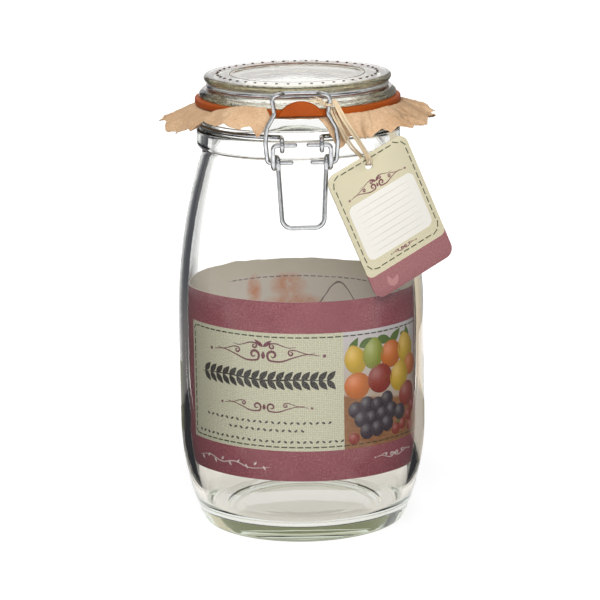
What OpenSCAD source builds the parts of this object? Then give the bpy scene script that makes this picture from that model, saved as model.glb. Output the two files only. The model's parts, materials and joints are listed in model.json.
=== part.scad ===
// Clip-top preserving jar: barrel glass, hinged glass lid, rubber ring, wire clip, paper frill,
// paper sleeve inside the glass and a card tag tied on with raffia.
// The front, with the clip, faces -Y. The hinge is at +Y. The jar stands on z = 0.

/* [Glass jar] */
// Outside radius of the barrel
body_r = 60.6; // [57:0.2:64]
// Thickness of the side wall
glass_wall = 4.4; // [3.6:0.1:5.2]
// Radius of the ring that the jar stands on
foot_r = 47.5; // [44:0.5:50]
// Width of the ring that the jar stands on
foot_w = 8; // [5:0.5:12]
// Height where the heel's curve reaches the barrel
heel_z = 50; // [42:1:60]
// Height where the barrel starts to draw in
shoulder_z = 100; // [90:1:112]
// Height of the waist under the collar bead
waist_z = 186.8; // [182:0.2:190]
// Outside radius of the waist
waist_r = 46.7; // [45:0.1:48]
// How far the collar bead stands out from the waist
bead_out = 2.9; // [2:0.1:3.6]
// Height of the collar bead
bead_h = 9.2; // [8:0.2:11]
// Height of the plain finish above the wire groove
finish_h = 7; // [6:0.5:9]
// Depth of the hollow under the base
punt_h = 3; // [2:0.5:4]
// Thickness of the floor at its edge
floor_t = 8; // [7:0.5:10]

/* [Glass lid] */
// Height of the lid above its seat
lid_h = 10.8; // [10.4:0.2:12]
// How far the flange stands out beyond the jar's rim
flange_out = 0.4; // [0:0.1:1]
// Height of the flange's upright edge
flange_h = 2.2; // [1.6:0.2:2.6]
// How far the upper disc is set back from the flange
disc_in = 2.4; // [2:0.1:3]
// Radius of the recess in the top
recess_r = 32.4; // [26:0.2:36]
// Depth of the recess in the top
recess_d = 0.8; // [0.4:0.1:1.4]
// Depth of the locating rim below the seat
plug_h = 5; // [3:0.5:7]
// Width of the locating rim
plug_w = 3.8; // [3:0.2:5]

/* [Rubber ring] */
// Thickness of the rubber ring
gasket_t = 3.4; // [3:0.1:4]
// How far the rubber ring stands out beyond the lid's flange
gasket_out = 2; // [1.6:0.1:2.4]
// Width of the pull tab
tab_w = 21; // [16:0.5:21.5]
// How high the pull tab's top stands above the underside of the rubber
tab_h = 7.6; // [6.5:0.2:8]
// Thickness of the pull tab
tab_t = 3; // [2.4:0.2:3.4]

/* [Paper] */
// Thickness of the paper frill
frill_t = 0.4; // [0.3:0.1:0.6]
// Length of the frill's hanging part
frill_l = 21; // [18:0.5:23]
// Number of teeth round the cut hem
frill_teeth = 30; // [24:2:32]
// Depth of the teeth
frill_tooth = 3.6; // [2:0.2:4.4]
// Height of the sleeve's lower edge above the table
sleeve_z = 33; // [20:1:45]
// Height of the sleeve
sleeve_h = 88; // [60:1:100]
// Thickness of the sleeve
sleeve_t = 0.4; // [0.3:0.1:0.6]

/* [Wire clip] */
// Diameter of the wire
wire_d = 2.2; // [2:0.05:2.4]
// Half the distance between the neck wire's hooks
hook_x = 9.3; // [8.6:0.1:9.6]
// Distance from the lever's pivot to the bail's pivot
crank = 8.7; // [8:0.1:9.6]
// Length of the lever from its pivot to its end
lever_l = 39; // [34:0.5:44]
// Half the width of the lever at its pivot
lever_x = 13.6; // [13.4:0.1:13.8]
// Half the width of the lever at its end
lever_end_x = 9.7; // [8:0.1:10.6]
// Half the width of the bail at its widest
bail_x = 17; // [16.8:0.1:18]
// Half the length of the bail's set-back bar
bar_x = 8.2; // [7:0.1:8.6]
// Distance of the hinge axis behind the rubber ring
hinge_out = 3.6; // [3.4:0.1:6]

/* [Swing tag] */
// Width of the tag
tag_w = 47; // [40:1:48]
// Length of the tag
tag_l = 66; // [55:1:70]
// Thickness of the tag's card
tag_t = 0.8; // [0.5:0.1:1]
// Corner radius of the tag
tag_corner = 5; // [4:0.5:9]
// Diameter of the punched hole
tag_hole_d = 4; // [4:0.2:5]
// Distance of the hole from the tag's top edge
tag_hole_in = 5; // [4.5:0.1:6]

/* [Hidden] */

// Clearances
groove_gap = 0.3;
seal_gap = 0.1;
plug_gap = 0.8;
sleeve_gap = 0.35;
wire_gap = 0.5;
tag_gap = 0.8;

// A bend of wire is a hair thicker than a straight run, which laps into it
bend_d = wire_d + 0.04;
coil_d = wire_d + 0.08;
lap = 0.1;

// Fineness of round shapes
lathe_fn = 128;
wire_fn = 48;

// Heights, from the waist up
bead_z = waist_z + 1;
groove_z = bead_z + bead_h;
groove_h = wire_d + 1.8;
neck_wire_z = groove_z + groove_h / 2;
rim_z = groove_z + groove_h + finish_h;
frill_z = rim_z + seal_gap;
gasket_z = frill_z + frill_t + seal_gap;
seat_z = gasket_z + gasket_t + seal_gap;
lid_top_z = seat_z + lid_h;

// Radii of the neck and its wire
mouth_r = waist_r - glass_wall;
bead_r = waist_r + bead_out;
groove_r = waist_r - 0.1;
rim_r = waist_r + 0.9;
flange_r = rim_r + flange_out;
disc_r = flange_r - disc_in;
gasket_r = flange_r + gasket_out;
neck_wire_r = groove_r + groove_gap + wire_d / 2;

// Curves of the heel and the shoulder, as arcs that meet the barrel upright
toe_r = foot_r + 3;
toe_z = 2;
heel_arc = (pow(heel_z - toe_z, 2) + pow(body_r - toe_r, 2)) / (2 * (body_r - toe_r));
shoulder_arc = (pow(waist_z - shoulder_z, 2) + pow(body_r - waist_r, 2)) / (2 * (body_r - waist_r));

// Groove of the lid and its wire
lid_groove_r = disc_r - 3.6;
lid_wire_z = seat_z + 5.4;
lid_wire_r = lid_groove_r + groove_gap + wire_d / 2;
plug_r = mouth_r - plug_gap;

// Eyes that hold a wire with some play
eye_r = wire_d + wire_gap;

// Lever and bail pivots, seen from the side
pivot_y = -(bead_r + 5);
pivot_z = neck_wire_z - eye_r;
bail_pivot_y = pivot_y + eye_r;
bail_pivot_z = pivot_z - crank;
lever_z = pivot_z - lever_l;
lever_y = -(barrel_r(lever_z) + wire_d / 2 + 1.6);
hinge_y = gasket_r + hinge_out;
hinge_z = lid_wire_z - eye_r;
yoke_x = 9;
lid_eye_x = 3.6;
exit_r = 2.6;

// Bail, from its bar down one leg to its pivot stub
bar_y = -(disc_r + 0.9);
bar_z = lid_wire_z + 2.2;
leg_y = -(gasket_r + 1);
bail_foot_x = lever_x + wire_d + 0.3;
stub_x = 5;
bail_leg_top = [13.8, leg_y, bar_z - 0.8];
bail_leg_waist = [12.5, leg_y - 0.2, gasket_z + 2];
bail_half = [
    [bar_x, bar_y, bar_z],
    [bar_x + 2.2, leg_y + 0.1, bar_z],
    bail_leg_top,
    bail_leg_waist,
    [bail_x - 0.6, leg_y - 1.2, gasket_z - 4.6],
    [bail_x, leg_y - 1.4, neck_wire_z - 1.6],
    [bail_foot_x, bail_pivot_y, bail_pivot_z],
    [stub_x, bail_pivot_y, bail_pivot_z]
];
bail_bends = [1.8, 1.8, 2.4, 3, 4, 6, 1.8, 0];

// Frill: where it is clamped, how soon it turns down, and the notches for clip and hinge
clamp_r = rim_r + 0.7;
frill_in_r = mouth_r + 1.3;
frill_turn = 2.2;
frill_lip = 0.8;
front_notch = 16;
rear_notch = 15;

// Frill: slope of its folds below level, at angles from the front, left to right
frill_slopes = [
    [-180, 78], [-164, 78], [-150, 48], [-132, 26], [-112, 44], [-95, 20], [-72, 46], [-54, 32], [-38, 26],
    [-28, 56], [-20, 78], [38, 78], [48, 60], [62, 40], [78, 24], [92, 18], [112, 44], [132, 26],
    [150, 48], [164, 78], [180, 78]
];

// Frill: how much shorter the paper was cut, at angles from the front, left to right
frill_short = [
    [-180, 5], [-150, 3], [-120, 1], [-95, 0], [-72, 0], [-56, 3], [-38, 5], [-20, 5], [20, 3], [34, 3],
    [44, 6], [58, 6], [72, 3], [95, 2], [120, 1], [150, 3], [180, 5]
];

// Tag: it leans on the barrel, turned to the right and rolled as it hangs
tag_turn = 26;
tag_tilt = 3;
tag_roll = 23;
tag_hole_z = 185;
tag_low_z = tag_hole_z - tag_l + tag_hole_in;
tag_side = 7.2;
tag_out = barrel_r(tag_low_z) + tag_gap - (tag_hole_z - tag_low_z) * tan(tag_tilt);

// Raffia: route of one loop from the knot, through the tag's hole and back, and the step between loops
raffia_d = 1;
raffia_sides = 8;
raffia_step = [0.7, 0.34, 0];
raffia_side = [0.9, 0.44, 0];
raffia_route = [
    [15.1, -49, 216.4], [16.3, -50.9, 215.2], [17.7, -53.2, 212.4], [19.9, -54.9, 208.3],
    [22.9, -55.2, 203.5], [26.1, -54, 198.3], [29.2, -52.2, 193], [31.2, -50.7, 189],
    [31.9, -49.6, 186.7], [32, -49, 185.6], [31.5, -47.7, 185], [30.5, -46.6, 185.5],
    [29.6, -46.3, 186.8], [28.1, -46.8, 188.8], [26.1, -47.9, 191.1], [23.7, -49.8, 193.9],
    [21.2, -51.6, 198], [18.9, -52.9, 202.8], [17, -53.1, 206.6], [15.9, -52.1, 209.1],
    [15.1, -50.8, 211], [14.8, -49.4, 212.6]
];
knot_d = 5.4;
knot_gap = 0.1;
knot_from = 0.26;
knot_to = 0.8;

// Outside radius of the glass barrel at a height, or of a shell inset into it
function barrel_r(z, inset = 0) =
    z < heel_z ? body_r - heel_arc + sqrt(pow(heel_arc - inset, 2) - pow(heel_z - z, 2))
    : z > shoulder_z ? body_r - shoulder_arc + sqrt(pow(shoulder_arc - inset, 2) - pow(z - shoulder_z, 2))
    : body_r - inset;

// Points up a shell of the barrel between two heights
function barrel_side(z0, z1, inset, steps) =
    [for (i = [0 : steps]) let (z = z0 + (z1 - z0) * i / steps) [barrel_r(z, inset), z]];

// Round corner from a to c, drawn towards b
function corner(a, b, c, steps = 5) =
    [for (i = [0 : steps]) let (t = i / steps) (1 - t) * (1 - t) * a + 2 * t * (1 - t) * b + t * t * c];

// Arc of a circle about a point in the plane
function arc(c, r, a0, a1, steps = 12) =
    [for (i = [0 : steps]) let (a = a0 + (a1 - a0) * i / steps) c + r * [cos(a), sin(a)]];

function unit(v) = v / norm(v);
function mirrored(p) = [for (i = [len(p) - 1 : -1 : 0]) [-p[i].x, p[i].y, p[i].z]];

// Straight run of wire
module rod(a, b, d = wire_d) {
    run = b - a;
    side = abs(unit(run).z) > 0.9 ? [1, 0, 0] : [0, 0, 1];
    u = unit(cross(side, run));
    v = cross(unit(run), u);
    w = unit(run);
    multmatrix([[u.x, v.x, w.x, a.x], [u.y, v.y, w.y, a.y], [u.z, v.z, w.z, a.z], [0, 0, 0, 1]])
        cylinder(d = d, h = norm(run), $fn = wire_fn);
}

// Bent run of wire about a centre, from direction u, setting off along v
module bend(c, u, v, r, turn, d = bend_d) {
    w = cross(u, v);
    multmatrix([[u.x, v.x, w.x, c.x], [u.y, v.y, w.y, c.y], [u.z, v.z, w.z, c.z], [0, 0, 0, 1]])
        rotate_extrude(angle = turn, $fn = lathe_fn)
            translate([r, 0])
                circle(d = d, $fn = wire_fn);
}

// Ring of wire about the jar's axis, clockwise from one angle to another, both measured from the rear
module ring_run(r, z, from, to) {
    over = asin(lap / r);
    a = from - over;
    bend([0, 0, z], [sin(a), cos(a), 0], [cos(a), -sin(a), 0], r, to - from + 2 * over, wire_d);
}

// Wire through a row of points, with a bend of its own radius at each inner point
module wire_run(p, radii) {
    last = len(p) - 1;
    way = [for (i = [0 : last - 1]) unit(p[i + 1] - p[i])];
    turn = [for (i = [0 : last]) i == 0 || i == last ? 0 : acos(min(1, way[i - 1] * way[i]))];
    trim = [for (i = [0 : last]) radii[i] * tan(turn[i] / 2)];
    for (i = [0 : last - 1])
        rod(p[i] + (trim[i] - lap) * way[i], p[i + 1] - (trim[i + 1] - lap) * way[i]);
    for (i = [1 : last - 1]) {
        inward = unit(way[i] - (way[i] * way[i - 1]) * way[i - 1]);
        start = p[i] - trim[i] * way[i - 1];
        bend(start + radii[i] * inward, -inward, way[i - 1], radii[i], turn[i]);
    }
}

// Where a wire ring of radius r turns out of its groove at half-width x: the bend's centre
function exit_centre(r, x) = [x + exit_r, sqrt(pow(r + exit_r, 2) - pow(x + exit_r, 2))];
function exit_angle(r, x) = asin((x + exit_r) / (r + exit_r));

// That bend, on the right at the rear
module exit_bend(r, x, z) {
    c = exit_centre(r, x);
    bend([c.x, c.y, z], [-1, 0, 0], [0, -1, 0], exit_r, 90 - exit_angle(r, x));
}

module both_sides() {
    children();
    mirror([1, 0, 0]) children();
}

module glass_jar() {
    foot_in = foot_r - foot_w;
    groove_top = groove_z + groove_h;
    floor_r = barrel_r(floor_t + 12, glass_wall);
    outside = concat(
        corner([0, punt_h], [foot_in * 0.8, punt_h], [foot_in, 0], 8),
        corner([foot_r, 0], [foot_r + 2, 0], [toe_r, toe_z]),
        barrel_side(toe_z, heel_z, 0, 14),
        barrel_side(shoulder_z, waist_z, 0, 20),
        corner([waist_r - 0.2, waist_z + 0.4], [waist_r - 0.3, bead_z], [waist_r + 0.5, bead_z], 3),
        corner([waist_r + 0.6, bead_z], [bead_r, bead_z], [bead_r, bead_z + 2.6]),
        corner([bead_r, groove_z - 1.8], [bead_r, groove_z], [bead_r - 1.8, groove_z]),
        [[groove_r, groove_z], [groove_r, groove_top]],
        corner([rim_r - 0.6, groove_top], [rim_r, groove_top], [rim_r, groove_top + 0.8], 3),
        corner([rim_r, rim_z - 1.2], [rim_r, rim_z], [rim_r - 1.2, rim_z])
    );
    inside = concat(
        corner([mouth_r + 1.2, rim_z], [mouth_r, rim_z], [mouth_r, rim_z - 1.2]),
        [[mouth_r, waist_z]],
        barrel_side(waist_z - 3, shoulder_z, glass_wall, 20),
        barrel_side(heel_z, floor_t + 12, glass_wall, 10),
        corner([floor_r - 1.6, floor_t + 7], [floor_r - 3.4, floor_t], [foot_in - 2, floor_t], 8),
        [[0, floor_t + 1.4]]
    );
    color([0.82, 0.9, 0.86, 0.4])
        rotate_extrude($fn = lathe_fn)
            polygon(concat(outside, inside));
}

module glass_lid() {
    dish_r = plug_r - plug_w;
    dish_z = seat_z + 4.4;
    plug_z = seat_z - plug_h;
    groove_low = lid_wire_z - wire_d / 2 - 0.2;
    disc_z = lid_wire_z + wire_d / 2 + 0.2;
    underside = concat(
        corner([0, dish_z], [dish_r, dish_z], [dish_r, plug_z + 1], 8),
        corner([dish_r, plug_z + 1], [dish_r, plug_z], [dish_r + 1, plug_z], 3),
        corner([plug_r - 1, plug_z], [plug_r, plug_z], [plug_r, plug_z + 1], 3),
        [[plug_r, seat_z]]
    );
    side = concat(
        corner([flange_r - 0.6, seat_z], [flange_r, seat_z], [flange_r, seat_z + 0.6], 3),
        corner([flange_r, seat_z + flange_h - 0.8], [flange_r, seat_z + flange_h],
               [flange_r - 0.9, seat_z + flange_h + 0.8]),
        [[disc_r - 0.4, groove_low], [lid_groove_r + 0.4, groove_low], [lid_groove_r, lid_wire_z]],
        corner([lid_groove_r + 0.3, disc_z], [disc_r - 0.4, disc_z + 0.1], [disc_r, lid_top_z - 1.8], 6),
        corner([disc_r, lid_top_z - 1.8], [disc_r, lid_top_z], [disc_r - 2.4, lid_top_z], 6)
    );
    top = concat(
        corner([recess_r + 0.5, lid_top_z], [recess_r, lid_top_z], [recess_r, lid_top_z - 0.2], 3),
        corner([recess_r, lid_top_z - recess_d + 0.1], [recess_r, lid_top_z - recess_d],
               [recess_r - 1.6, lid_top_z - recess_d], 3),
        [[0, lid_top_z - recess_d]]
    );
    color([0.8, 0.88, 0.82, 0.5])
        rotate_extrude($fn = lathe_fn)
            polygon(concat(underside, side, top));
}

module rubber_gasket() {
    gasket_in = mouth_r + 0.4;
    gasket_top = gasket_z + gasket_t;
    tab_low = 0.4;
    tab_edge = 1.6;
    tab_rise = tab_h - tab_edge;
    tab_arc = (pow(tab_w / 2, 2) + tab_rise * tab_rise) / (2 * tab_rise);
    tab_open = asin(tab_w / 2 / tab_arc);
    tab_back = flange_r + 0.6;
    color([0.78, 0.3, 0.07])
        union() {
            rotate_extrude($fn = lathe_fn)
                polygon(concat(
                    [[gasket_in, gasket_z]],
                    corner([gasket_r - 1, gasket_z], [gasket_r, gasket_z], [gasket_r, gasket_z + 1], 4),
                    corner([gasket_r, gasket_top - 1], [gasket_r, gasket_top], [gasket_r - 1, gasket_top], 4),
                    [[gasket_in, gasket_top]]
                ));
            translate([0, -tab_back, gasket_z])
                rotate([90, 0, 0])
                    linear_extrude(tab_t)
                        polygon(concat(
                            [[-tab_w / 2, tab_low], [tab_w / 2, tab_low]],
                            arc([0, tab_h - tab_arc], tab_arc, 90 - tab_open, 90 + tab_open, 16)
                        ));
        }
}

// Length of the frill at column i, at an angle from the front: just a lip in the notches, four columns a tooth
function frill_len(i, a) =
    abs(a) < front_notch || abs(a) > 180 - rear_notch ? frill_lip
    : frill_l - lookup(a, frill_short) - frill_tooth * abs(i % 4 - 2) / 2;

// A point of the frill: distance from the axis and height, s along the paper from the clamp
function frill_point(s, slope, depth) =
    let (bent = min(s, frill_turn),
         run = max(0, s - frill_turn),
         lean = slope * bent / frill_turn,
         r = clamp_r + bent * cos(lean / 2) + run * cos(slope),
         z = frill_z + frill_t - bent * sin(lean / 2) - run * sin(slope))
    [r - depth * sin(lean), z - depth * cos(lean)];

// One row of points round the frill, on its upper face or a depth below it
function frill_row(k, depth) =
    [for (i = [0 : 4 * frill_teeth - 1])
        let (a = 90 * i / frill_teeth - 180,
             share = [0, 0, 0.12, 0.5, 1][k],
             q = k == 0 ? [frill_in_r, frill_z + frill_t - depth]
                 : frill_point(share * frill_len(i, a), lookup(a, frill_slopes), depth))
        [q.x * sin(a), -q.x * cos(a), q.y]];

module paper_frill() {
    n = 4 * frill_teeth;
    rows = concat([for (k = [0 : 4]) frill_row(k, 0)], [for (k = [4 : -1 : 0]) frill_row(k, frill_t)]);
    count = len(rows);
    points = [for (row = rows) each row];
    faces = [for (k = [0 : count - 1])
                for (i = [0 : n - 1])
                    let (k2 = (k + 1) % count,
                         i2 = (i + 1) % n,
                         a = k * n + i, b = k * n + i2, c = k2 * n + i2, d = k2 * n + i)
                    each [[a, d, c], [a, c, b]]];
    color([0.76, 0.6, 0.43])
        polyhedron(points, faces);
}

module paper_sleeve() {
    inset = glass_wall + sleeve_gap;
    outer = barrel_side(sleeve_z, sleeve_z + sleeve_h, inset, 16);
    inner = barrel_side(sleeve_z + sleeve_h, sleeve_z, inset + sleeve_t, 16);
    color([0.6, 0.37, 0.41])
        rotate_extrude($fn = lathe_fn)
            polygon(concat(outer, inner));
}

module neck_wire() {
    rear = exit_centre(neck_wire_r, yoke_x);
    front = exit_centre(neck_wire_r, hook_x);
    rear_angle = exit_angle(neck_wire_r, yoke_x);
    front_angle = exit_angle(neck_wire_r, hook_x);
    yoke_half = [[yoke_x, hinge_y, hinge_z], [yoke_x, hinge_y, neck_wire_z], [yoke_x, rear.y, neck_wire_z]];
    color([0.75, 0.77, 0.8])
        union() {
            wire_run(concat(mirrored(yoke_half), yoke_half), [0, 2.6, 2.6, 2.6, 2.6, 0]);
            both_sides() {
                exit_bend(neck_wire_r, yoke_x, neck_wire_z);
                ring_run(neck_wire_r, neck_wire_z, rear_angle, 180 - front_angle);
                mirror([0, 1, 0])
                    exit_bend(neck_wire_r, hook_x, neck_wire_z);
                rod([hook_x, lap - front.y, neck_wire_z], [hook_x, pivot_y - lap, neck_wire_z]);
                bend([hook_x, pivot_y, pivot_z], [0, 0, 1], [0, -1, 0], eye_r, 205);
            }
        }
}

module lid_wire() {
    rear = exit_centre(lid_wire_r, lid_eye_x);
    rear_angle = exit_angle(lid_wire_r, lid_eye_x);
    color([0.75, 0.77, 0.8])
        union() {
            ring_run(lid_wire_r, lid_wire_z, rear_angle, 360 - rear_angle);
            both_sides() {
                exit_bend(lid_wire_r, lid_eye_x, lid_wire_z);
                rod([lid_eye_x, rear.y - lap, lid_wire_z], [lid_eye_x, hinge_y + lap, lid_wire_z]);
                bend([lid_eye_x, hinge_y, hinge_z], [0, 0, 1], [0, 1, 0], eye_r, 250);
            }
        }
}

module lever_wire() {
    coil_step = (wire_d + 0.2) / 2;
    coil_in = [lever_x, pivot_y, bail_pivot_z];
    coil_half = [lever_x - coil_step, pivot_y + 2 * eye_r, bail_pivot_z];
    coil_out = [lever_x - 2 * coil_step, pivot_y, bail_pivot_z];
    handle_half = [[lever_end_x, lever_y, lever_z], coil_out - [0, 0, 3], coil_out];
    color([0.75, 0.77, 0.8])
        union() {
            wire_run(concat(mirrored(handle_half), handle_half), [0, 6, 4.6, 4.6, 6, 0]);
            both_sides() {
                wire_run([[3.2, pivot_y, pivot_z], [lever_x, pivot_y, pivot_z], coil_in], [0, 2, 0]);
                bend((coil_in + coil_half) / 2, unit(coil_in - coil_half), [0, 0, -1],
                     norm(coil_in - coil_half) / 2, 180);
                bend((coil_half + coil_out) / 2, unit(coil_half - coil_out), [0, 0, 1],
                     norm(coil_half - coil_out) / 2, 180, coil_d);
            }
        }
}

module bail_wire() {
    radii = concat([for (i = [len(bail_half) - 1 : -1 : 0]) bail_bends[i]],
                   [for (i = [0 : len(bail_half) - 1]) bail_bends[i]]);
    color([0.75, 0.77, 0.8])
        wire_run(concat(mirrored(bail_half), bail_half), radii);
}

module swing_tag() {
    hole = [0, tag_l / 2 - tag_hole_in];
    place = tag_out * [sin(tag_turn), -cos(tag_turn), 0] + tag_side * [cos(tag_turn), sin(tag_turn), 0];
    color([0.88, 0.85, 0.72])
        translate([place.x, place.y, tag_hole_z])
            rotate([0, 0, tag_turn])
                rotate([90 - tag_tilt, 0, 0])
                    rotate([0, 0, tag_roll])
                        translate([0, -hole.y, -tag_t / 2])
                            linear_extrude(tag_t)
                                difference() {
                                    union() {
                                        square([tag_w, tag_l - 2 * tag_corner], center = true);
                                        square([tag_w - 2 * tag_corner, tag_l], center = true);
                                        for (x = [-1, 1], y = [-1, 1])
                                            translate([x * (tag_w / 2 - tag_corner), y * (tag_l / 2 - tag_corner)])
                                                circle(r = tag_corner, $fn = wire_fn);
                                    }
                                    translate(hole)
                                        circle(d = tag_hole_d, $fn = wire_fn);
                                }
}

module raffia_knot() {
    a = bail_leg_top + knot_from * (bail_leg_waist - bail_leg_top);
    b = bail_leg_top + knot_to * (bail_leg_waist - bail_leg_top);
    over = 0.1 * (b - a);
    color([0.86, 0.76, 0.58])
        difference() {
            rod(a, b, knot_d);
            rod(a - over, b + over, wire_d + 2 * knot_gap);
        }
}

// Smooth curve through points, with one extra point in the middle of each step
function mid_point(p, i) =
    let (a = p[max(0, i - 1)], b = p[i], c = p[i + 1], d = p[min(len(p) - 1, i + 2)])
    (9 * (b + c) - a - d) / 16;
function smooth_route(p) =
    concat([for (i = [0 : len(p) - 2]) each [p[i], mid_point(p, i)]], [p[len(p) - 1]]);

module raffia_loop(shift) {
    path = smooth_route([for (p = raffia_route) p + shift]);
    last = len(path) - 1;
    n = raffia_sides;
    points = [for (i = [0 : last])
                let (way = unit(path[min(last, i + 1)] - path[max(0, i - 1)]),
                     u = unit(raffia_side - (raffia_side * way) * way),
                     v = cross(way, u))
                for (j = [0 : n - 1])
                    path[i] + raffia_d / 2 * (cos(360 * j / n) * u + sin(360 * j / n) * v)];
    sides = [for (i = [0 : last - 1])
                for (j = [0 : n - 1])
                    let (j2 = (j + 1) % n, a = i * n + j, b = i * n + j2, c = b + n, d = a + n)
                    each [[a, d, c], [a, c, b]]];
    start_cap = [for (j = [1 : n - 2]) [0, j, j + 1]];
    end_cap = [for (j = [1 : n - 2]) [last * n, last * n + j + 1, last * n + j]];
    color([0.86, 0.76, 0.58])
        polyhedron(points, concat(sides, start_cap, end_cap));
}

module raffia_loop_near() { raffia_loop(-raffia_step); }

module raffia_loop_far() { raffia_loop(raffia_step); }

glass_jar();
glass_lid();
rubber_gasket();
paper_frill();
paper_sleeve();
neck_wire();
lid_wire();
lever_wire();
bail_wire();
swing_tag();
raffia_knot();
raffia_loop_near();
raffia_loop_far();
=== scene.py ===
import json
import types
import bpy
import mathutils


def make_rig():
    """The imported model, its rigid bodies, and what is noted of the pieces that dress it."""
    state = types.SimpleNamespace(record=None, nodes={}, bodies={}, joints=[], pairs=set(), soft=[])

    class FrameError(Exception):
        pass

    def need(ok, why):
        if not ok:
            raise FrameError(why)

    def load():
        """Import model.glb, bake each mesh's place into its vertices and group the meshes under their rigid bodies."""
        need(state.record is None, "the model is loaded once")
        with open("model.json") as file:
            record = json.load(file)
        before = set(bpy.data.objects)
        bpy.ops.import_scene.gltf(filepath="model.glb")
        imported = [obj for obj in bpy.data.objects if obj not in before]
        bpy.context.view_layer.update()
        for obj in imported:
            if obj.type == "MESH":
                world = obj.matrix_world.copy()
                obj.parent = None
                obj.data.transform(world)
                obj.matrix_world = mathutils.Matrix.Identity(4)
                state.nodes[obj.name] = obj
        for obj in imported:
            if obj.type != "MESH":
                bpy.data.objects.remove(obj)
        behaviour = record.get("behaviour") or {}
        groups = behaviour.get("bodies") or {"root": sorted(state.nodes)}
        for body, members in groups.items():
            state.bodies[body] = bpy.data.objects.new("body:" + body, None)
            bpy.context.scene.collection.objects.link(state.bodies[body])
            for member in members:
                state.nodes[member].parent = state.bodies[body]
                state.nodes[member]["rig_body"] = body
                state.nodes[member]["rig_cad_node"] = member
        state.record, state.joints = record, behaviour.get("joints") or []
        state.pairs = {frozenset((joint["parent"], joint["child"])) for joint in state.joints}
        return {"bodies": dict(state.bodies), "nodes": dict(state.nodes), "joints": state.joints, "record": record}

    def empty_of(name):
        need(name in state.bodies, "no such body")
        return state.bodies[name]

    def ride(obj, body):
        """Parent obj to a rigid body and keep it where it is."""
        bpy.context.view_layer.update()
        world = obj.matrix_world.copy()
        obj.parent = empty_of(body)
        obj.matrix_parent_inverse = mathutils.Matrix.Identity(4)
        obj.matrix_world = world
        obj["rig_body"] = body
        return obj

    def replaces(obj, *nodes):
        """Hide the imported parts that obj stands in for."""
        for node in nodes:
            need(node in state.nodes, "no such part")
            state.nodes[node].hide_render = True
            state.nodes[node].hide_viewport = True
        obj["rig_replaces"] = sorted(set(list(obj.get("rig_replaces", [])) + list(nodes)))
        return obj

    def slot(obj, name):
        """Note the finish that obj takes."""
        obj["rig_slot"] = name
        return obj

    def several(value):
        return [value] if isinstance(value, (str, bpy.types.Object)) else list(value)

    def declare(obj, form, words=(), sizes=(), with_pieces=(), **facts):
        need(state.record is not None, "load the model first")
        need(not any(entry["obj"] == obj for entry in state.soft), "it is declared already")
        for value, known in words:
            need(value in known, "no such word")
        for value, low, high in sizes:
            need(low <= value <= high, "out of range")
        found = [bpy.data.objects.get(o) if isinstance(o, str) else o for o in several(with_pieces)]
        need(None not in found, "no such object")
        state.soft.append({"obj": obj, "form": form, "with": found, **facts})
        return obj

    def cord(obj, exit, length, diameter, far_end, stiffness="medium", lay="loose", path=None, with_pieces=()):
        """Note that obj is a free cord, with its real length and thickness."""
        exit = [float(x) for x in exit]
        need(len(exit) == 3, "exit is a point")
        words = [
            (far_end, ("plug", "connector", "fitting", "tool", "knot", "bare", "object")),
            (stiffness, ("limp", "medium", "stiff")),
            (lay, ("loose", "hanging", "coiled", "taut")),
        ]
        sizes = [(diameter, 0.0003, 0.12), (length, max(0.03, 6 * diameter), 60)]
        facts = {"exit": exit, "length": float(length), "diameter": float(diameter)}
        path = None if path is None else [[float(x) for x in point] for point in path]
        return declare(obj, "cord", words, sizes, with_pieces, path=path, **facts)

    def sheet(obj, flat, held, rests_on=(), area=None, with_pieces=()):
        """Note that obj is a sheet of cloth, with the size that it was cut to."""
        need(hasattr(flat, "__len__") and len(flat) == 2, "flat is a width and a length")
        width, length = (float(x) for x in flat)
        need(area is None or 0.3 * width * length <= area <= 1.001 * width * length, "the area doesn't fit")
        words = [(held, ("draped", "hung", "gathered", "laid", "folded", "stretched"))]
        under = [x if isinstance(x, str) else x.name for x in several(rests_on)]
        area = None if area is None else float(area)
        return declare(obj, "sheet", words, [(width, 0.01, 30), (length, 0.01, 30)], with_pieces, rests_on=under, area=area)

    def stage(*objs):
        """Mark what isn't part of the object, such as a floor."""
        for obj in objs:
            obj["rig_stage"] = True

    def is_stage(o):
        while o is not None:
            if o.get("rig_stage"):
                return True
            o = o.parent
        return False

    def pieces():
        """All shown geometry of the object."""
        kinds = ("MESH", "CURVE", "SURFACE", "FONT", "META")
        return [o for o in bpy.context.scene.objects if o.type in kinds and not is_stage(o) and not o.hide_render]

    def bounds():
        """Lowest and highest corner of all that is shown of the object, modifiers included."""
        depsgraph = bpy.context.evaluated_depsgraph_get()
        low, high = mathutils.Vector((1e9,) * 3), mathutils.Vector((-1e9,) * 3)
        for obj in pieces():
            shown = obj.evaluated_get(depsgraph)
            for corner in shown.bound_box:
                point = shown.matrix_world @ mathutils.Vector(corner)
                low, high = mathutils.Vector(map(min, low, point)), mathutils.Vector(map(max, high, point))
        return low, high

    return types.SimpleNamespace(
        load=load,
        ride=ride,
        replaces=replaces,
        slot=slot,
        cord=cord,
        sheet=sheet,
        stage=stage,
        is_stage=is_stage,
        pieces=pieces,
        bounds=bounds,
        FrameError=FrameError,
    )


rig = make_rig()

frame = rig.load()

import json
import random
from math import asin, ceil, cos, degrees, exp, hypot, pi, radians, sin, sqrt, tan, tau

import bmesh
import bpy
from mathutils import Matrix, Vector, noise

cad_box = [list(corner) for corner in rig.bounds()]
MM = 0.001
scene = bpy.context.scene
scene.view_settings.view_transform = "Standard"


def linked(name, data):
    """A new object in the scene."""
    thing = bpy.data.objects.new(name, data)
    scene.collection.objects.link(thing)
    return thing


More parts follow.
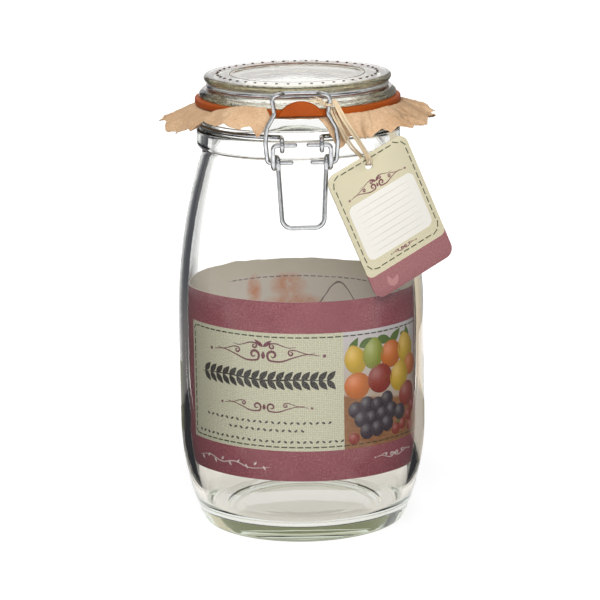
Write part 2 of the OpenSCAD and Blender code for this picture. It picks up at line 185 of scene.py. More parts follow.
# Camera
CAMERA_TURN, CAMERA_DOWN = radians(-1.7), radians(12.8)
CAMERA_ROLL, CAMERA_AIM = radians(-0.95), radians(0.02)
CAMERA_BACK, CAMERA_UP, CAMERA_LENS = 1.374, 0.4217, 171.24
camera_data = bpy.data.cameras.new("camera")
camera_data.lens, camera_data.sensor_width, camera_data.clip_end = CAMERA_LENS, 36, 20
camera = scene.camera = linked("camera", camera_data)
camera.location = (CAMERA_BACK * sin(CAMERA_TURN), -CAMERA_BACK * cos(CAMERA_TURN), CAMERA_UP)
camera.rotation_euler = (
    Matrix.Rotation(CAMERA_TURN + CAMERA_AIM, 4, "Z")
    @ Matrix.Rotation(pi / 2 - CAMERA_DOWN, 4, "X")
    @ Matrix.Rotation(CAMERA_ROLL, 4, "Z")
).to_euler()

# Sizes of the glass, in millimetres
BODY_R, GLASS_WALL, FOOT_R, FOOT_W, HEEL_Z = 60.6, 4.4, 47.5, 8.0, 50.0
SHOULDER_Z, WAIST_Z, WAIST_R, BEAD_R = 100.0, 186.8, 46.7, 49.6
BEAD_Z, GROOVE_Z, GROOVE_TOP, RIM_Z, PUNT_H, FLOOR_T = 187.8, 197.0, 201.0, 208.0, 3.0, 8.0
MOUTH_R, GROOVE_R, RIM_R = 42.3, 46.6, 47.6
TOE_R, TOE_Z = 50.5, 2.0
HEEL_ARC = ((HEEL_Z - TOE_Z) ** 2 + (BODY_R - TOE_R) ** 2) / (2 * (BODY_R - TOE_R))
SHOULDER_ARC = ((WAIST_Z - SHOULDER_Z) ** 2 + (BODY_R - WAIST_R) ** 2) / (2 * (BODY_R - WAIST_R))
SEAT_Z, LID_TOP_Z, FLANGE_R, FLANGE_H, DISC_R = 212.1, 222.9, 48.0, 2.2, 45.6
RECESS_R, RECESS_D, PLUG_R, DISH_R, PLUG_Z, DISH_Z = 32.4, 0.8, 41.5, 37.7, 207.1, 216.5
LID_GROOVE_R, LID_WIRE_Z, LID_WIRE_R = 42.0, 217.5, 43.4
GASKET_R, GASKET_Z, GASKET_T, TAB_W, TAB_H, TAB_T = 50.0, 208.6, 3.4, 21.0, 7.6, 3.0
BEAD_EDGE, RIM_EDGE, TOP_EDGE = 1.8, 1.2, 1.8
DOT_COUNT, DOT_RING_R, DOT_R, RECESS_LINE_R = 44, 38.9, 0.78, 0.13
GLASS_FACETS, RING_FACETS = 256, 192

# Sizes of the wire clip
WIRE_R, EYE_R, EXIT_R = 1.1, 2.7, 2.6
NECK_WIRE_R, NECK_WIRE_Z, HOOK_X, YOKE_X, LID_EYE_X = 48.0, 199.0, 9.3, 9.0, 3.6
HINGE_Y, HINGE_Z, PIVOT_Y, PIVOT_Z = 53.6, 214.8, -54.6, 196.3
LEVER_X, LEVER_END_X, LEVER_Z, BAIL_PIVOT_Z = 13.6, 9.7, 157.3, 187.6
LEG_Y, BAR_Y, BAR_Z, BAR_X, BAIL_X = -51.0, -46.5, 219.7, 8.2, 17.0
LEVER_GAP, COIL_GAP, STUB_X, BAIL_END_X = 1.6, 0.1, 3.2, 5
LEG_TOP, LEG_WAIST = (13.8, LEG_Y, BAR_Z - 0.8), (12.5, LEG_Y - 0.2, GASKET_Z + 2)

# Sizes of paper, card and raffia
FRILL_Z, FRILL_T, FRILL_L, FRILL_TOOTH, CLAMP_R, FRILL_IN_R = 208.1, 0.35, 21.0, 3.6, 48.3, 43.6
SLEEVE_Z, SLEEVE_H, SLEEVE_T, SLEEVE_INSET, SLEEVE_LEAN = 33.0, 88.0, 0.4, 4.75, 0.0166
SLEEVE_R = BODY_R - SLEEVE_INSET
REAR_U = pi * SLEEVE_R
# The sleeve's upper edge at the rear: height of the strip that droops, how far, and its wave
SLEEVE_DROOP, SLEEVE_SAG, SLEEVE_WAVE = 12, 1.7, 0.9
TAG_W, TAG_L, TAG_T, TAG_CORNER, TAG_HOLE_R, TAG_HOLE_IN = 47.0, 66.0, 0.8, 5.0, 2.0, 5.0
TAG_TURN, TAG_TILT, TAG_ROLL, TAG_HOLE_Z, TAG_SIDE = 26.0, 3.0, 23.0, 185.0, 7.2
RAFFIA_D = 1.0
# Printed stitches: pitch, length, width and lift off the paper, then their height
SLEEVE_STITCH, TAG_STITCH, STITCH_H = (3.7, 2.8, 0.55, 0.05), (4.4, 3.2, 0.5, 0.04), 0.08
# Panels of the sleeve: middle and half width, then middle and half height
FRONT_PANEL, REAR_PANEL, REAR_PANEL_U = (1.0, 65.0, 44.0, 28.9), (17.0, 57.0, 45.0, 34.0), 175.5
# A sheet's own map has 100 millimetres to the unit
UV_MM = 100
SHEET = (UV_MM, UV_MM, 1)


def ink(*seen):
    """Colour as it is seen, from 0 to 255, as a shader colour."""
    shares = [c / 255 for c in seen]
    return tuple(c / 12.92 if c <= 0.04045 else ((c + 0.055) / 1.055) ** 2.4 for c in shares) + (1.0,)


WHITE = (1, 1, 1, 1)
PLUM, DARK, PALE = ink(118, 62, 74), ink(52, 48, 46), ink(232, 214, 212)


def add_node(tree, kind, inputs, out=0, **settings):
    """A node with its settings, its inputs from sockets or values; gives one of its outputs."""
    node = tree.nodes.new(kind)
    for key, value in settings.items():
        setattr(node, key, value)
    for key, value in inputs.items():
        if isinstance(value, bpy.types.NodeSocket):
            tree.links.new(value, node.inputs[key])
        else:
            node.inputs[key].default_value = value
    return node.outputs[out]


class Finish:
    """A material's or the world's node tree, with short calls for the nodes it uses."""

    def __init__(self, name, world=False):
        self.owner = (bpy.data.worlds if world else bpy.data.materials).new(name)
        self.owner.use_nodes = True
        self.tree = self.owner.node_tree
        self.tree.nodes.clear()

    def add(self, kind, inputs, out=0, **settings):
        return add_node(self.tree, "ShaderNode" + kind, inputs, out, **settings)

    def place(self, scale=(1, 1, 1), source="Object"):
        return self.add("Mapping", {"Vector": self.add("TexCoord", {}, source), "Scale": scale})

    def axes(self, where):
        return [self.add("SeparateXYZ", {0: where}, i) for i in range(3)]

    def noise(self, where, scale, detail=3.0, rough=0.5):
        return self.add("TexNoise", {"Vector": where, "Scale": scale, "Detail": detail, "Roughness": rough})

    def math(self, how, a, b=0.0, c=0.0):
        return self.add("Math", {0: a, 1: b, 2: c}, operation=how)

    def plus(self, a, b):
        return self.math("ADD", a, b)

    def minus(self, a, b):
        return self.math("SUBTRACT", a, b)

    def times(self, a, b):
        return self.math("MULTIPLY", a, b)

    def more(self, a, b):
        return self.math("MAXIMUM", a, b)

    def squares(self, x, y):
        return self.plus(self.times(x, x), self.times(y, y))

    def from_axis(self):
        """Distance from the jar's axis."""
        x, y, _ = self.axes(self.place())
        return self.math("SQRT", self.squares(x, y))

    def within(self, value, middle, half):
        return self.math("COMPARE", value, middle, half)

    def inside(self, u, v, panel):
        """1 inside a panel."""
        return self.times(self.within(u, *panel[:2]), self.within(v, *panel[2:]))

    def span(self, value, low, high, to_low=0.0, to_high=1.0):
        return self.add("MapRange", {0: value, 1: low, 2: high, 3: to_low, 4: to_high})

    def mix(self, share, a, b):
        return self.add("Mix", {0: share, 6: a, 7: b}, 2, data_type="RGBA")

    def tone(self, value, low, high, a, b, most=1.0):
        """Colour a where the value is low, going over to b, or to a share of b, where it is high."""
        return self.mix(self.span(value, low, high, 0.0, most), a, b)

    def bump(self, height, strength, distance=0.001):
        return self.add("Bump", {"Height": height, "Strength": strength, "Distance": distance})

    def ray(self, kind):
        return self.add("LightPath", {}, f"Is {kind} Ray")

    def surface(self, **inputs):
        return self.add("BsdfPrincipled", {k.replace("_", " "): v for k, v in inputs.items()})

    def done(self, surface, volume=None, kind="Material"):
        out = self.tree.nodes.new("ShaderNodeOutput" + kind)
        self.tree.links.new(surface, out.inputs["Surface"])
        if volume is not None:
            self.tree.links.new(volume, out.inputs["Volume"])
        return self.owner

    def solid(self, colour, rough, **more):
        return self.done(self.surface(Base_Color=colour, Roughness=rough, **more))

    def glow(self, colour, strength=1.0):
        return self.done(self.add("Emission", {"Color": colour, "Strength": strength}))


def clear_glass(f, normal, tint, density, coat=0.0, mirror=1.0):
    """Glass tinted in its depth that lets lamplight through; mirror is the strength of its gloss."""
    clear = f.surface(Base_Color=WHITE, Roughness=0.0, IOR=1.5, Transmission_Weight=1.0, Coat_Weight=coat,
                      Coat_IOR=1.8, Specular_Tint=(mirror, mirror, mirror, 1), Normal=normal)
    lit = f.add("BsdfTransparent", {"Color": (0.94, 0.95, 0.94, 1)})
    both = f.add("MixShader", {0: f.ray("Shadow"), 1: clear, 2: lit})
    return f.done(both, f.add("VolumeAbsorption", {"Color": tint, "Density": density}))


def jar_glass_finish():
    f = Finish("jar_glass")
    height = f.noise(f.place((1, 1, 2.4)), 42, 2.0)
    return clear_glass(f, f.bump(height, 0.02, 0.002), (0.71, 0.77, 0.64, 1), 14.0, mirror=0.2)


def lid_glass_finish():
    """Thick pressed glass: drawn streaks round its edge and a ripple under its top."""
    f = Finish("lid_glass")
    where = f.place()
    z, out = f.axes(where)[2], f.from_axis()
    at_edge = f.span(out, (DISC_R - 0.4) * MM, DISC_R * MM)
    below = f.math("LESS_THAN", z, (DISH_Z + 0.3) * MM)
    under = f.times(below, f.math("LESS_THAN", out, (DISH_R - 0.1) * MM))
    streaks, ripple = f.noise(f.place((60, 60, 1400)), 1.0, 3.0, 0.6), f.noise(where, 260, 2.0)
    height = f.plus(f.times(streaks, at_edge), f.times(ripple, under))
    return clear_glass(f, f.bump(height, 0.35), (0.75, 0.71, 0.42, 1), 22.0, 0.3)


def steel_finish():
    f = Finish("drawn_steel_wire")
    streak, spots = f.noise(f.place((60, 2, 1), "UV"), 6, 4.0), f.noise(f.place(), 420)
    colour = f.tone(spots, 0.35, 0.75, (0.64, 0.65, 0.66, 1), (0.44, 0.45, 0.46, 1))
    rough = f.span(f.plus(streak, spots), 0.6, 1.4, 0.08, 0.2)
    return f.solid(colour, rough, Metallic=1.0, Normal=f.bump(streak, 0.12, 0.0002))


def rubber_finish():
    f = Finish("orange_rubber")
    broad, fine = f.noise(f.place(), 55), f.noise(f.place(), 1600, 2.0)
    colour = f.tone(broad, 0.3, 0.75, ink(154, 66, 10), ink(174, 80, 16))
    colour = f.tone(fine, 0.55, 0.8, colour, ink(128, 52, 10), 0.35)
    return f.solid(colour, f.span(fine, 0.3, 0.7, 0.42, 0.62), Specular_IOR_Level=0.25, Subsurface_Weight=0.08,
                   Subsurface_Radius=(0.004, 0.0015, 0.0006), Normal=f.bump(fine, 0.15, 0.0002))


def kraft_finish():
    f = Finish("kraft_paper")
    cloud, fibre = f.noise(f.place(), 70, 4.0), f.noise(f.place((1, 1, 4)), 700)
    speck = f.noise(f.place(), 2200, 2.0)
    colour = f.tone(cloud, 0.3, 0.7, ink(198, 162, 126), ink(222, 189, 153))
    colour = f.tone(fibre, 0.45, 0.75, colour, ink(172, 132, 94), 0.55)
    colour = f.tone(speck, 0.58, 0.74, colour, ink(140, 102, 70), 0.7)
    height = f.plus(fibre, f.times(speck, 0.5))
    return f.solid(colour, 0.82, Specular_IOR_Level=0.3, Normal=f.bump(height, 0.5, 0.0003))


def linen_weave(f, where):
    """Height of a fine weave on a place in millimetres."""
    waves = {"Vector": where, "Scale": 0.36, "Distortion": 1.6, "Detail": 2.0, "Detail Scale": 1.5}
    across, down = (f.add("TexWave", waves, bands_direction=way) for way in "XY")
    return f.times(f.plus(across, down), 0.5)


def from_rear(f, u):
    """Distance round the sleeve from the middle of its rear."""
    return f.times(f.math("SIGN", u), f.minus(REAR_PANEL_U, f.math("ABSOLUTE", u)))


def sleeve_finish():
    f = Finish("sleeve_print")
    where = f.place(SHEET, "UV")
    u, v, _ = f.axes(where)
    grain, cloud = f.noise(where, 1.15, 4.0, 0.6), f.noise(where, 0.09)
    mauve = f.tone(cloud, 0.3, 0.7, ink(164, 96, 105), ink(180, 110, 118))
    mauve = f.mix(f.span(grain, 0.32, 0.68, 0.75, 0), mauve, ink(132, 72, 82))
    mauve = f.tone(grain, 0.5, 0.72, mauve, ink(196, 128, 135), 0.75)
    weave = linen_weave(f, where)
    cream = f.mix(weave, ink(204, 199, 172), ink(246, 242, 222))
    cream = f.tone(grain, 0.4, 0.7, cream, ink(196, 189, 160), 0.6)
    planks = f.noise(f.place((30, 160, 1), "UV"), 0.8, 4.0)
    board = f.tone(planks, 0.3, 0.7, ink(142, 98, 70), ink(174, 126, 94))
    backdrop = f.tone(v, 30, 74, ink(196, 174, 150), ink(222, 214, 218))
    picture = f.tone(f.plus(v, f.times(u, 0.16)), 44.0, 45.5, board, backdrop)
    panel = f.mix(f.within(u, 42.7, 24.7), cream, picture)
    in_front, in_rear = f.inside(u, v, FRONT_PANEL), f.inside(from_rear(f, u), v, REAR_PANEL)
    colour = f.mix(in_rear, f.mix(in_front, mauve, panel), cream)
    height = f.plus(f.times(weave, f.more(in_front, in_rear)), grain)
    return f.solid(colour, 0.6, Specular_IOR_Level=0.2, Normal=f.bump(height, 0.15, 0.0002))


def sleeve_back_finish():
    """Pale back of the paper, with the print showing through it; w runs across from the middle of the rear."""
    f = Finish("sleeve_paper_back")
    u, v, _ = f.axes(f.place(SHEET, "UV"))
    w = from_rear(f, u)
    where = f.add("CombineXYZ", {0: w, 1: v})
    fibre, cloud = f.noise(where, 1.6, 4.0), f.noise(where, 0.16, 3.0, 0.6)

    def patch(middle_w, middle_v, half_w, half_v):
        """Soft round patch, 1 at its middle."""
        far_w = f.math("DIVIDE", f.minus(w, middle_w), half_w)
        far_v = f.math("DIVIDE", f.minus(v, middle_v), half_v)
        return f.span(f.squares(far_w, far_v), 0, 1, 1, 0)

    colour = f.tone(fibre, 0.3, 0.7, ink(222, 212, 198), ink(236, 227, 214))
    colour = f.mix(f.times(f.inside(w, v, REAR_PANEL), 0.6), colour, ink(234, 222, 218))
    warm = f.more(patch(-24, 70, 5, 10), f.more(patch(-5, 72, 11, 8), patch(-2, 63, 18, 6)))
    colour = f.mix(f.times(warm, f.span(cloud, 0.3, 0.6, 0.2, 0.85)), colour, ink(222, 142, 102))
    thread = f.math("MULTIPLY_ADD", f.math("SINE", f.times(w, 0.21)), -7.0, 67.5)
    line = f.times(f.within(v, thread, 0.55), f.within(w, 24, 13))
    along = f.math("FRACT", f.math("DIVIDE", f.plus(w, 400), SLEEVE_STITCH[0]))
    stitch = f.times(f.math("LESS_THAN", along, 0.72), f.inside(w, v, (17, 56, 77.0, 0.3)))
    colour = f.mix(f.times(f.more(line, stitch), 0.7), colour, ink(96, 82, 80))
    return f.solid(colour, 0.85, Specular_IOR_Level=0.2, Normal=f.bump(fibre, 0.2, 0.0002))


def card_finish():
    f = Finish("tag_linen_card")
    where = f.place(SHEET, "UV")
    x, y, _ = f.axes(where)

    def rounded(middle_y, half_x, half_y, radius=3.4, soft=0.06):
        """1 inside a rounded rectangle about the tag's middle line."""
        out_x = f.more(f.minus(f.math("ABSOLUTE", x), half_x - radius), 0.0)
        out_y = f.more(f.minus(f.math("ABSOLUTE", f.minus(y, middle_y)), half_y - radius), 0.0)
        return f.span(f.math("SQRT", f.squares(out_x, out_y)), radius - soft, radius + soft, 1.0, 0.0)

    weave, grain = linen_weave(f, where), f.noise(where, 1.2, 4.0, 0.6)
    cream = f.mix(weave, ink(196, 188, 156), ink(230, 222, 196))
    cream = f.tone(grain, 0.4, 0.7, cream, ink(196, 186, 150), 0.5)
    mauve = f.tone(grain, 0.3, 0.7, ink(142, 90, 93), ink(170, 118, 119))
    paper = f.tone(grain, 0.3, 0.8, ink(236, 233, 226), ink(229, 225, 216))
    colour = f.mix(rounded(0.2, 19.2, 14.4), f.mix(rounded(8.0, 23.6, 29.6), mauve, cream), paper)
    return f.solid(colour, 0.62, Normal=f.bump(weave, 0.12, 0.0002))


def raffia_finish():
    f = Finish("raffia_fibre")
    streak, broad = f.noise(f.place((26, 3, 1), "UV"), 5, 4.0, 0.65), f.noise(f.place(), 160, 2.0)
    colour = f.tone(streak, 0.3, 0.7, ink(206, 180, 142), ink(244, 228, 200))
    colour = f.tone(broad, 0.4, 0.7, colour, ink(228, 203, 164), 0.5)
    return f.solid(colour, 0.6, Normal=f.bump(streak, 0.5, 0.0003))


def ink_finish():
    """Print in the colours that its mesh carries."""
    f = Finish("printed_ink")
    colour, grain = f.add("Attribute", {}, "Color", attribute_name="ink"), f.noise(f.place(), 1800, 2.0)
    colour = f.tone(grain, 0.4, 0.8, colour, (0.5, 0.46, 0.4, 1), 0.18)
    return f.solid(colour, f.span(grain, 0.3, 0.7, 0.5, 0.65))


def grained_finish(name, scale, dark, light, rough, gloss):
    f = Finish(name)
    colour = f.tone(f.noise(f.place(), scale, 2.0), 0.3, 0.7, dark, light)
    return f.solid(colour, rough, Specular_IOR_Level=gloss)


JAR_GLASS, LID_GLASS = jar_glass_finish(), lid_glass_finish()
STEEL, RUBBER, KRAFT = steel_finish(), rubber_finish(), kraft_finish()
SLEEVE_PRINT, SLEEVE_BACK, CARD = sleeve_finish(), sleeve_back_finish(), card_finish()
RAFFIA, INK = raffia_finish(), ink_finish()
DASH = grained_finish("printed_stitch", 1500, ink(58, 64, 44), ink(78, 82, 58), 0.6, 0.5)
DOT = grained_finish("lid_dot_glass", 900, ink(58, 46, 38), ink(78, 64, 54), 0.5, 0.1)
RECESS_EDGE = grained_finish("lid_recess_edge", 900, ink(112, 92, 78), ink(140, 118, 102), 0.5, 0.1)


def bend(a, b, c, steps=8):
    """Round corner from a to c, drawn towards b."""
    return [tuple((1 - t) ** 2 * p + 2 * t * (1 - t) * q + t * t * r for p, q, r in zip(a, b, c))
            for t in (i / steps for i in range(steps + 1))]


def eased(r, z, before, after, steps=8):
    """Round corner at a radius and height, between offsets before and after it."""
    return bend((r + before[0], z + before[1]), (r, z), (r + after[0], z + after[1]), steps)


def turns(count):
    """Angles once round, in equal steps."""
    return [tau * i / count for i in range(count)]


def about(r, way, z):
    """Point at a radius and height, at an angle from the front."""
    return (r * sin(way), -r * cos(way), z)


def held(value, low=0.0, high=1.0):
    return min(high, max(low, value))


def barrel_r(z, inset=0.0):
    """Outside radius of the barrel at a height, or of a shell inset into it."""
    if z < HEEL_Z:
        return BODY_R - HEEL_ARC + sqrt((HEEL_ARC - inset) ** 2 - (HEEL_Z - z) ** 2)
    if z > SHOULDER_Z:
        return BODY_R - SHOULDER_ARC + sqrt((SHOULDER_ARC - inset) ** 2 - (z - SHOULDER_Z) ** 2)
    return BODY_R - inset


def barrel_side(z0, z1, inset, steps):
    return [(barrel_r(z, inset), z) for z in (z0 + (z1 - z0) * i / steps for i in range(steps + 1))]


def lookup(table, x):
    """Value at x from a table of pairs, straight between them."""
    if x <= table[0][0]:
        return table[0][1]
    for (x0, y0), (x1, y1) in zip(table, table[1:]):
        if x <= x1:
            return y0 + (y1 - y0) * (x - x0) / (x1 - x0)
    return table[-1][1]


class Skin:
    """A mesh gathered from closed rows of points in millimetres, with a map where one is given."""

    def __init__(self, name):
        self.name, self.points, self.faces, self.map = name, [], [], []

    def add(self, rows, loop=False, uv=None):
        """Faces between each row and the next; loop joins the last row to the first."""
        count, total, start = len(rows[0]), len(rows), len(self.points)
        self.points += [[c * MM for c in p] for row in rows for p in row]
        for k in range(total if loop else total - 1):
            a, b = start + k * count, start + (k + 1) % total * count
            for i in range(count):
                i2 = (i + 1) % count
                self.faces.append((a + i, a + i2, b + i2, b + i))
                if uv:
                    self.map += uv(k, i) + uv(k, i + 1) + uv(k + 1, i + 1) + uv(k + 1, i)
        return self

    def made(self, finish, sharp=35):
        mesh = bpy.data.meshes.new(self.name)
        mesh.from_pydata(self.points, [], self.faces)
        if self.map:
            mesh.uv_layers.new(name="UVMap").data.foreach_set("uv", self.map)
        return finished(self.name, mesh, finish, sharp)


def finished(name, mesh, finish, sharp):
    """Closes the poles and seams of a mesh, shades it smooth and makes it a piece."""
    work = bmesh.new()
    work.from_mesh(mesh)
    bmesh.ops.remove_doubles(work, verts=work.verts, dist=1e-6)
    work.to_mesh(mesh)
    work.free()
    mesh.shade_smooth()
    mesh.set_sharp_from_angle(angle=radians(sharp))
    mesh.materials.append(finish)
    return linked(name, mesh)


def lathe(name, profile, finish, count=RING_FACETS, loop=False):
    return Skin(name).add([[about(r, a, z) for a in turns(count)] for r, z in profile], loop).made(finish)


def evaluated_mesh(piece):
    return bpy.data.meshes.new_from_object(piece.evaluated_get(bpy.context.evaluated_depsgraph_get()))


def thicken(work, faces, way):
    """Gives flat faces a thickness."""
    thick = bmesh.ops.extrude_face_region(work, geom=faces)
    moved = [part for part in thick["geom"] if isinstance(part, bmesh.types.BMVert)]
    bmesh.ops.translate(work, verts=moved, vec=way)
    bmesh.ops.recalc_face_normals(work, faces=work.faces)


def worked_mesh(name, work):
    mesh = bpy.data.meshes.new(name)
    work.to_mesh(mesh)
    work.free()
    return mesh


def on_body(piece, body, slot, *nodes):
    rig.ride(piece, body)
    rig.slot(piece, slot)
    if nodes:
        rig.replaces(piece, *nodes)
    return piece


# Raffia loops from the knot on the bail, through the tag's hole and back
RAFFIA_STEP = Vector((0.7, 0.34, 0))
# Split fibres: radius of each, then the angles between them and wound from end to end
FIBRES, FIBRE_APART, FIBRE_WIND = (0.4, 0.32, 0.26), 2.1, 8.0
RAFFIA_ROUTE = [
    (15.1, -49, 216.4), (16.3, -50.9, 215.2), (17.7, -53.2, 212.4), (19.9, -54.9, 208.3), (22.9, -55.2, 203.5),
    (26.1, -54, 198.3), (29.2, -52.2, 193), (31.2, -50.7, 189), (31.9, -49.6, 186.7), (32, -49, 185.6),
    (31.5, -47.7, 185), (30.5, -46.6, 185.5), (29.6, -46.3, 186.8), (28.1, -46.8, 188.8), (26.1, -47.9, 191.1),
    (23.7, -49.8, 193.9), (21.2, -51.6, 198), (18.9, -52.9, 202.8), (17, -53.1, 206.6), (15.9, -52.1, 209.1),
    (15.1, -50.8, 211), (14.8, -49.4, 212.6),
]


def smooth(points, steps):
    """Curve through the points, with a number of steps between each two."""
    p = [Vector(q) for q in points]
    line = []
    for i in range(len(p) - 1):
        a, b, c, d = p[max(0, i - 1)], p[i], p[i + 1], p[min(len(p) - 1, i + 2)]
        for t in (k / steps for k in range(steps)):
            line.append(0.5 * (2 * b + (c - a) * t + (2 * a - 5 * b + 4 * c - d) * t * t
                               + (3 * b - a - 3 * c + d) * t ** 3))
    return line + [p[-1]]


def sweep(path, radius, sides, flat, twist, ends):
    """Rings round a path, with rounded ends, and how far along it each one is."""
    path = [p for i, p in enumerate(path) if i == 0 or (p - path[i - 1]).length > 1e-3]
    last = len(path) - 1
    ways = [(path[min(last, i + 1)] - path[max(0, i - 1)]).normalized() for i in range(last + 1)]
    side, along = ways[0].orthogonal().normalized(), 0.0
    stops = []
    for i, (p, way) in enumerate(zip(path, ways)):
        side = (side - way * side.dot(way)).normalized()
        along += (p - path[i - 1]).length if i else 0.0
        stops.append((p, way, side.copy(), radius, along))

    def ring(centre, way, across, r, along):
        other, turned = way.cross(across), radians(twist * along)
        return [centre + r * (cos(a) * across + flat * sin(a) * other)
                for a in (turned + tau * j / sides for j in range(sides))], along

    def cap(stop, way_out, k):
        p, way, across, r, along = stop
        a = pi / 2 * k / ends
        return ring(p + way_out * (way * r * sin(a)), way, across, r * cos(a) if k < ends else 0.0, along)

    return ([cap(stops[0], -1, k) for k in range(ends, 0, -1)] + [ring(*stop) for stop in stops]
            + [cap(stops[-1], 1, k) for k in range(1, ends + 1)])


def strands(name, runs, finish, sides=10, twist=14.0, ends=3):
    """One piece from several strands, each a path, a radius and how flat it is."""
    skin = Skin(name)
    for path, radius, flat in runs:
        rings = sweep(path, radius, sides, flat, twist, ends)
        skin.add([ring[::-1] for ring, _ in rings], uv=lambda k, i: (i / sides, rings[k][1] / UV_MM))
    return skin.made(finish, 60)


def path_length(path):
    return sum((b - a).length for a, b in zip(path, path[1:]))


def raffia_loop(name, shift, turned, node):
    """Three split fibres that wind slowly round one route."""
    route = [Vector(p) + shift for p in RAFFIA_ROUTE]
    line = smooth(route, 5)
    runs = []
    for k, thick in enumerate(FIBRES):
        wound = []
        for i, p in enumerate(line):
            a = turned + FIBRE_APART * k + FIBRE_WIND * i / len(line)
            wound.append(p + (0.3 + 0.08 * k) * Vector((cos(a), 0.5 * sin(a), 0.6 * sin(a))))
        runs.append((wound, thick, 0.6))
    piece = on_body(strands(name, runs, RAFFIA), "bail", "raffia", node)
    path = [p * MM for p in smooth(route, 2)]
    return piece, path[:2] + path[2:-2:2] + path[-2:]


near_strands = raffia_loop("raffia_strands_near", -RAFFIA_STEP, 0.0, "raffia_loop_near")
far_strands = raffia_loop("raffia_strands_far", RAFFIA_STEP, 1.2, "raffia_loop_far")


# Glass jar
def make_jar():
    foot_in, well_z = FOOT_R - FOOT_W, FLOOR_T + 12
    floor_r, throat_r = barrel_r(well_z, GLASS_WALL), barrel_r(WAIST_Z - 4, GLASS_WALL)
    outside = (
        bend((0.0, PUNT_H), (foot_in * 0.8, PUNT_H), (foot_in, 0.0), 14)
        + bend((FOOT_R, 0.0), (FOOT_R + 2, 0.0), (TOE_R, TOE_Z))
        + barrel_side(TOE_Z, HEEL_Z, 0, 30)[1:] + barrel_side(SHOULDER_Z, WAIST_Z, 0, 44)
        + bend((WAIST_R - 0.2, WAIST_Z + 0.4), (WAIST_R - 0.3, BEAD_Z), (WAIST_R + 0.5, BEAD_Z), 5)
        + bend((WAIST_R + 0.6, BEAD_Z), (BEAD_R, BEAD_Z), (BEAD_R, BEAD_Z + 2.6))
        + eased(BEAD_R, GROOVE_Z, (0, -BEAD_EDGE), (-BEAD_EDGE, 0))
        + eased(GROOVE_R, GROOVE_Z, (0.5, 0), (0, 0.5), 4)
        + eased(GROOVE_R, GROOVE_TOP, (0, -0.4), (0.2, 0), 4)
        + eased(RIM_R, GROOVE_TOP, (-0.6, 0), (0, 0.8), 5)
        + eased(RIM_R, RIM_Z, (0, -RIM_EDGE), (-RIM_EDGE, 0))
    )
    inside = (
        eased(MOUTH_R, RIM_Z, (RIM_EDGE, 0), (0, -RIM_EDGE))
        + bend((MOUTH_R, WAIST_Z + 2), (MOUTH_R, WAIST_Z - 1), (throat_r, WAIST_Z - 4))
        + barrel_side(WAIST_Z - 5, SHOULDER_Z, GLASS_WALL, 42) + barrel_side(HEEL_Z, well_z, GLASS_WALL, 24)
        + bend((floor_r - 1.2, FLOOR_T + 8), (floor_r - 3.4, FLOOR_T), (foot_in + 2, FLOOR_T), 14)
        + bend((foot_in + 1, FLOOR_T), (foot_in - 4, FLOOR_T), (30.0, FLOOR_T + 1.0), 8) + [(0.0, FLOOR_T + 1.6)]
    )
    return lathe("jar_of_clear_glass", outside + inside, JAR_GLASS, GLASS_FACETS)


on_body(make_jar(), "jar", "jar_glass", "glass_jar")


# Glass lid
def make_lid():
    groove_low, disc_z = LID_WIRE_Z - WIRE_R - 0.2, LID_WIRE_Z + WIRE_R + 0.2
    flange_z, recess_z = SEAT_Z + FLANGE_H, LID_TOP_Z - RECESS_D
    underside = (
        bend((0.0, DISH_Z), (DISH_R, DISH_Z), (DISH_R, PLUG_Z + 1), 16)
        + eased(DISH_R, PLUG_Z, (0, 1), (1, 0), 5) + eased(PLUG_R, PLUG_Z, (-1, 0), (0, 1), 5)
        + eased(PLUG_R, SEAT_Z, (0, -0.4), (0.4, 0), 4)
    )
    side = (
        eased(FLANGE_R, SEAT_Z, (-0.6, 0), (0, 0.6), 5) + eased(FLANGE_R, flange_z, (0, -0.8), (-0.9, 0.8), 8)
        + bend((DISC_R + 0.2, groove_low - 0.1), (DISC_R - 0.2, groove_low), (DISC_R - 0.7, groove_low), 4)
        + bend((LID_GROOVE_R + 0.8, groove_low), (LID_GROOVE_R, groove_low), (LID_GROOVE_R, LID_WIRE_Z), 5)
        + bend((LID_GROOVE_R, LID_WIRE_Z + 0.6), (LID_GROOVE_R, disc_z), (LID_GROOVE_R + 0.5, disc_z), 4)
        + bend((LID_GROOVE_R + 0.9, disc_z), (DISC_R - 0.4, disc_z + 0.1), (DISC_R, LID_TOP_Z - TOP_EDGE), 10)
        + eased(DISC_R, LID_TOP_Z, (0, -TOP_EDGE), (-2.4, 0), 10)[1:]
    )
    top = (
        bend((RECESS_R + 1.6, LID_TOP_Z), (RECESS_R + 0.8, LID_TOP_Z), (RECESS_R + 0.5, LID_TOP_Z - 0.3), 5)
        + bend((RECESS_R, recess_z + 0.2), (RECESS_R - 0.2, recess_z), (RECESS_R - 1.6, recess_z), 6)
        + [(0.0, recess_z)]
    )
    return lathe("lid_of_clear_glass", underside + side + top, LID_GLASS, GLASS_FACETS)


on_body(make_lid(), "lid", "lid_glass", "glass_lid")


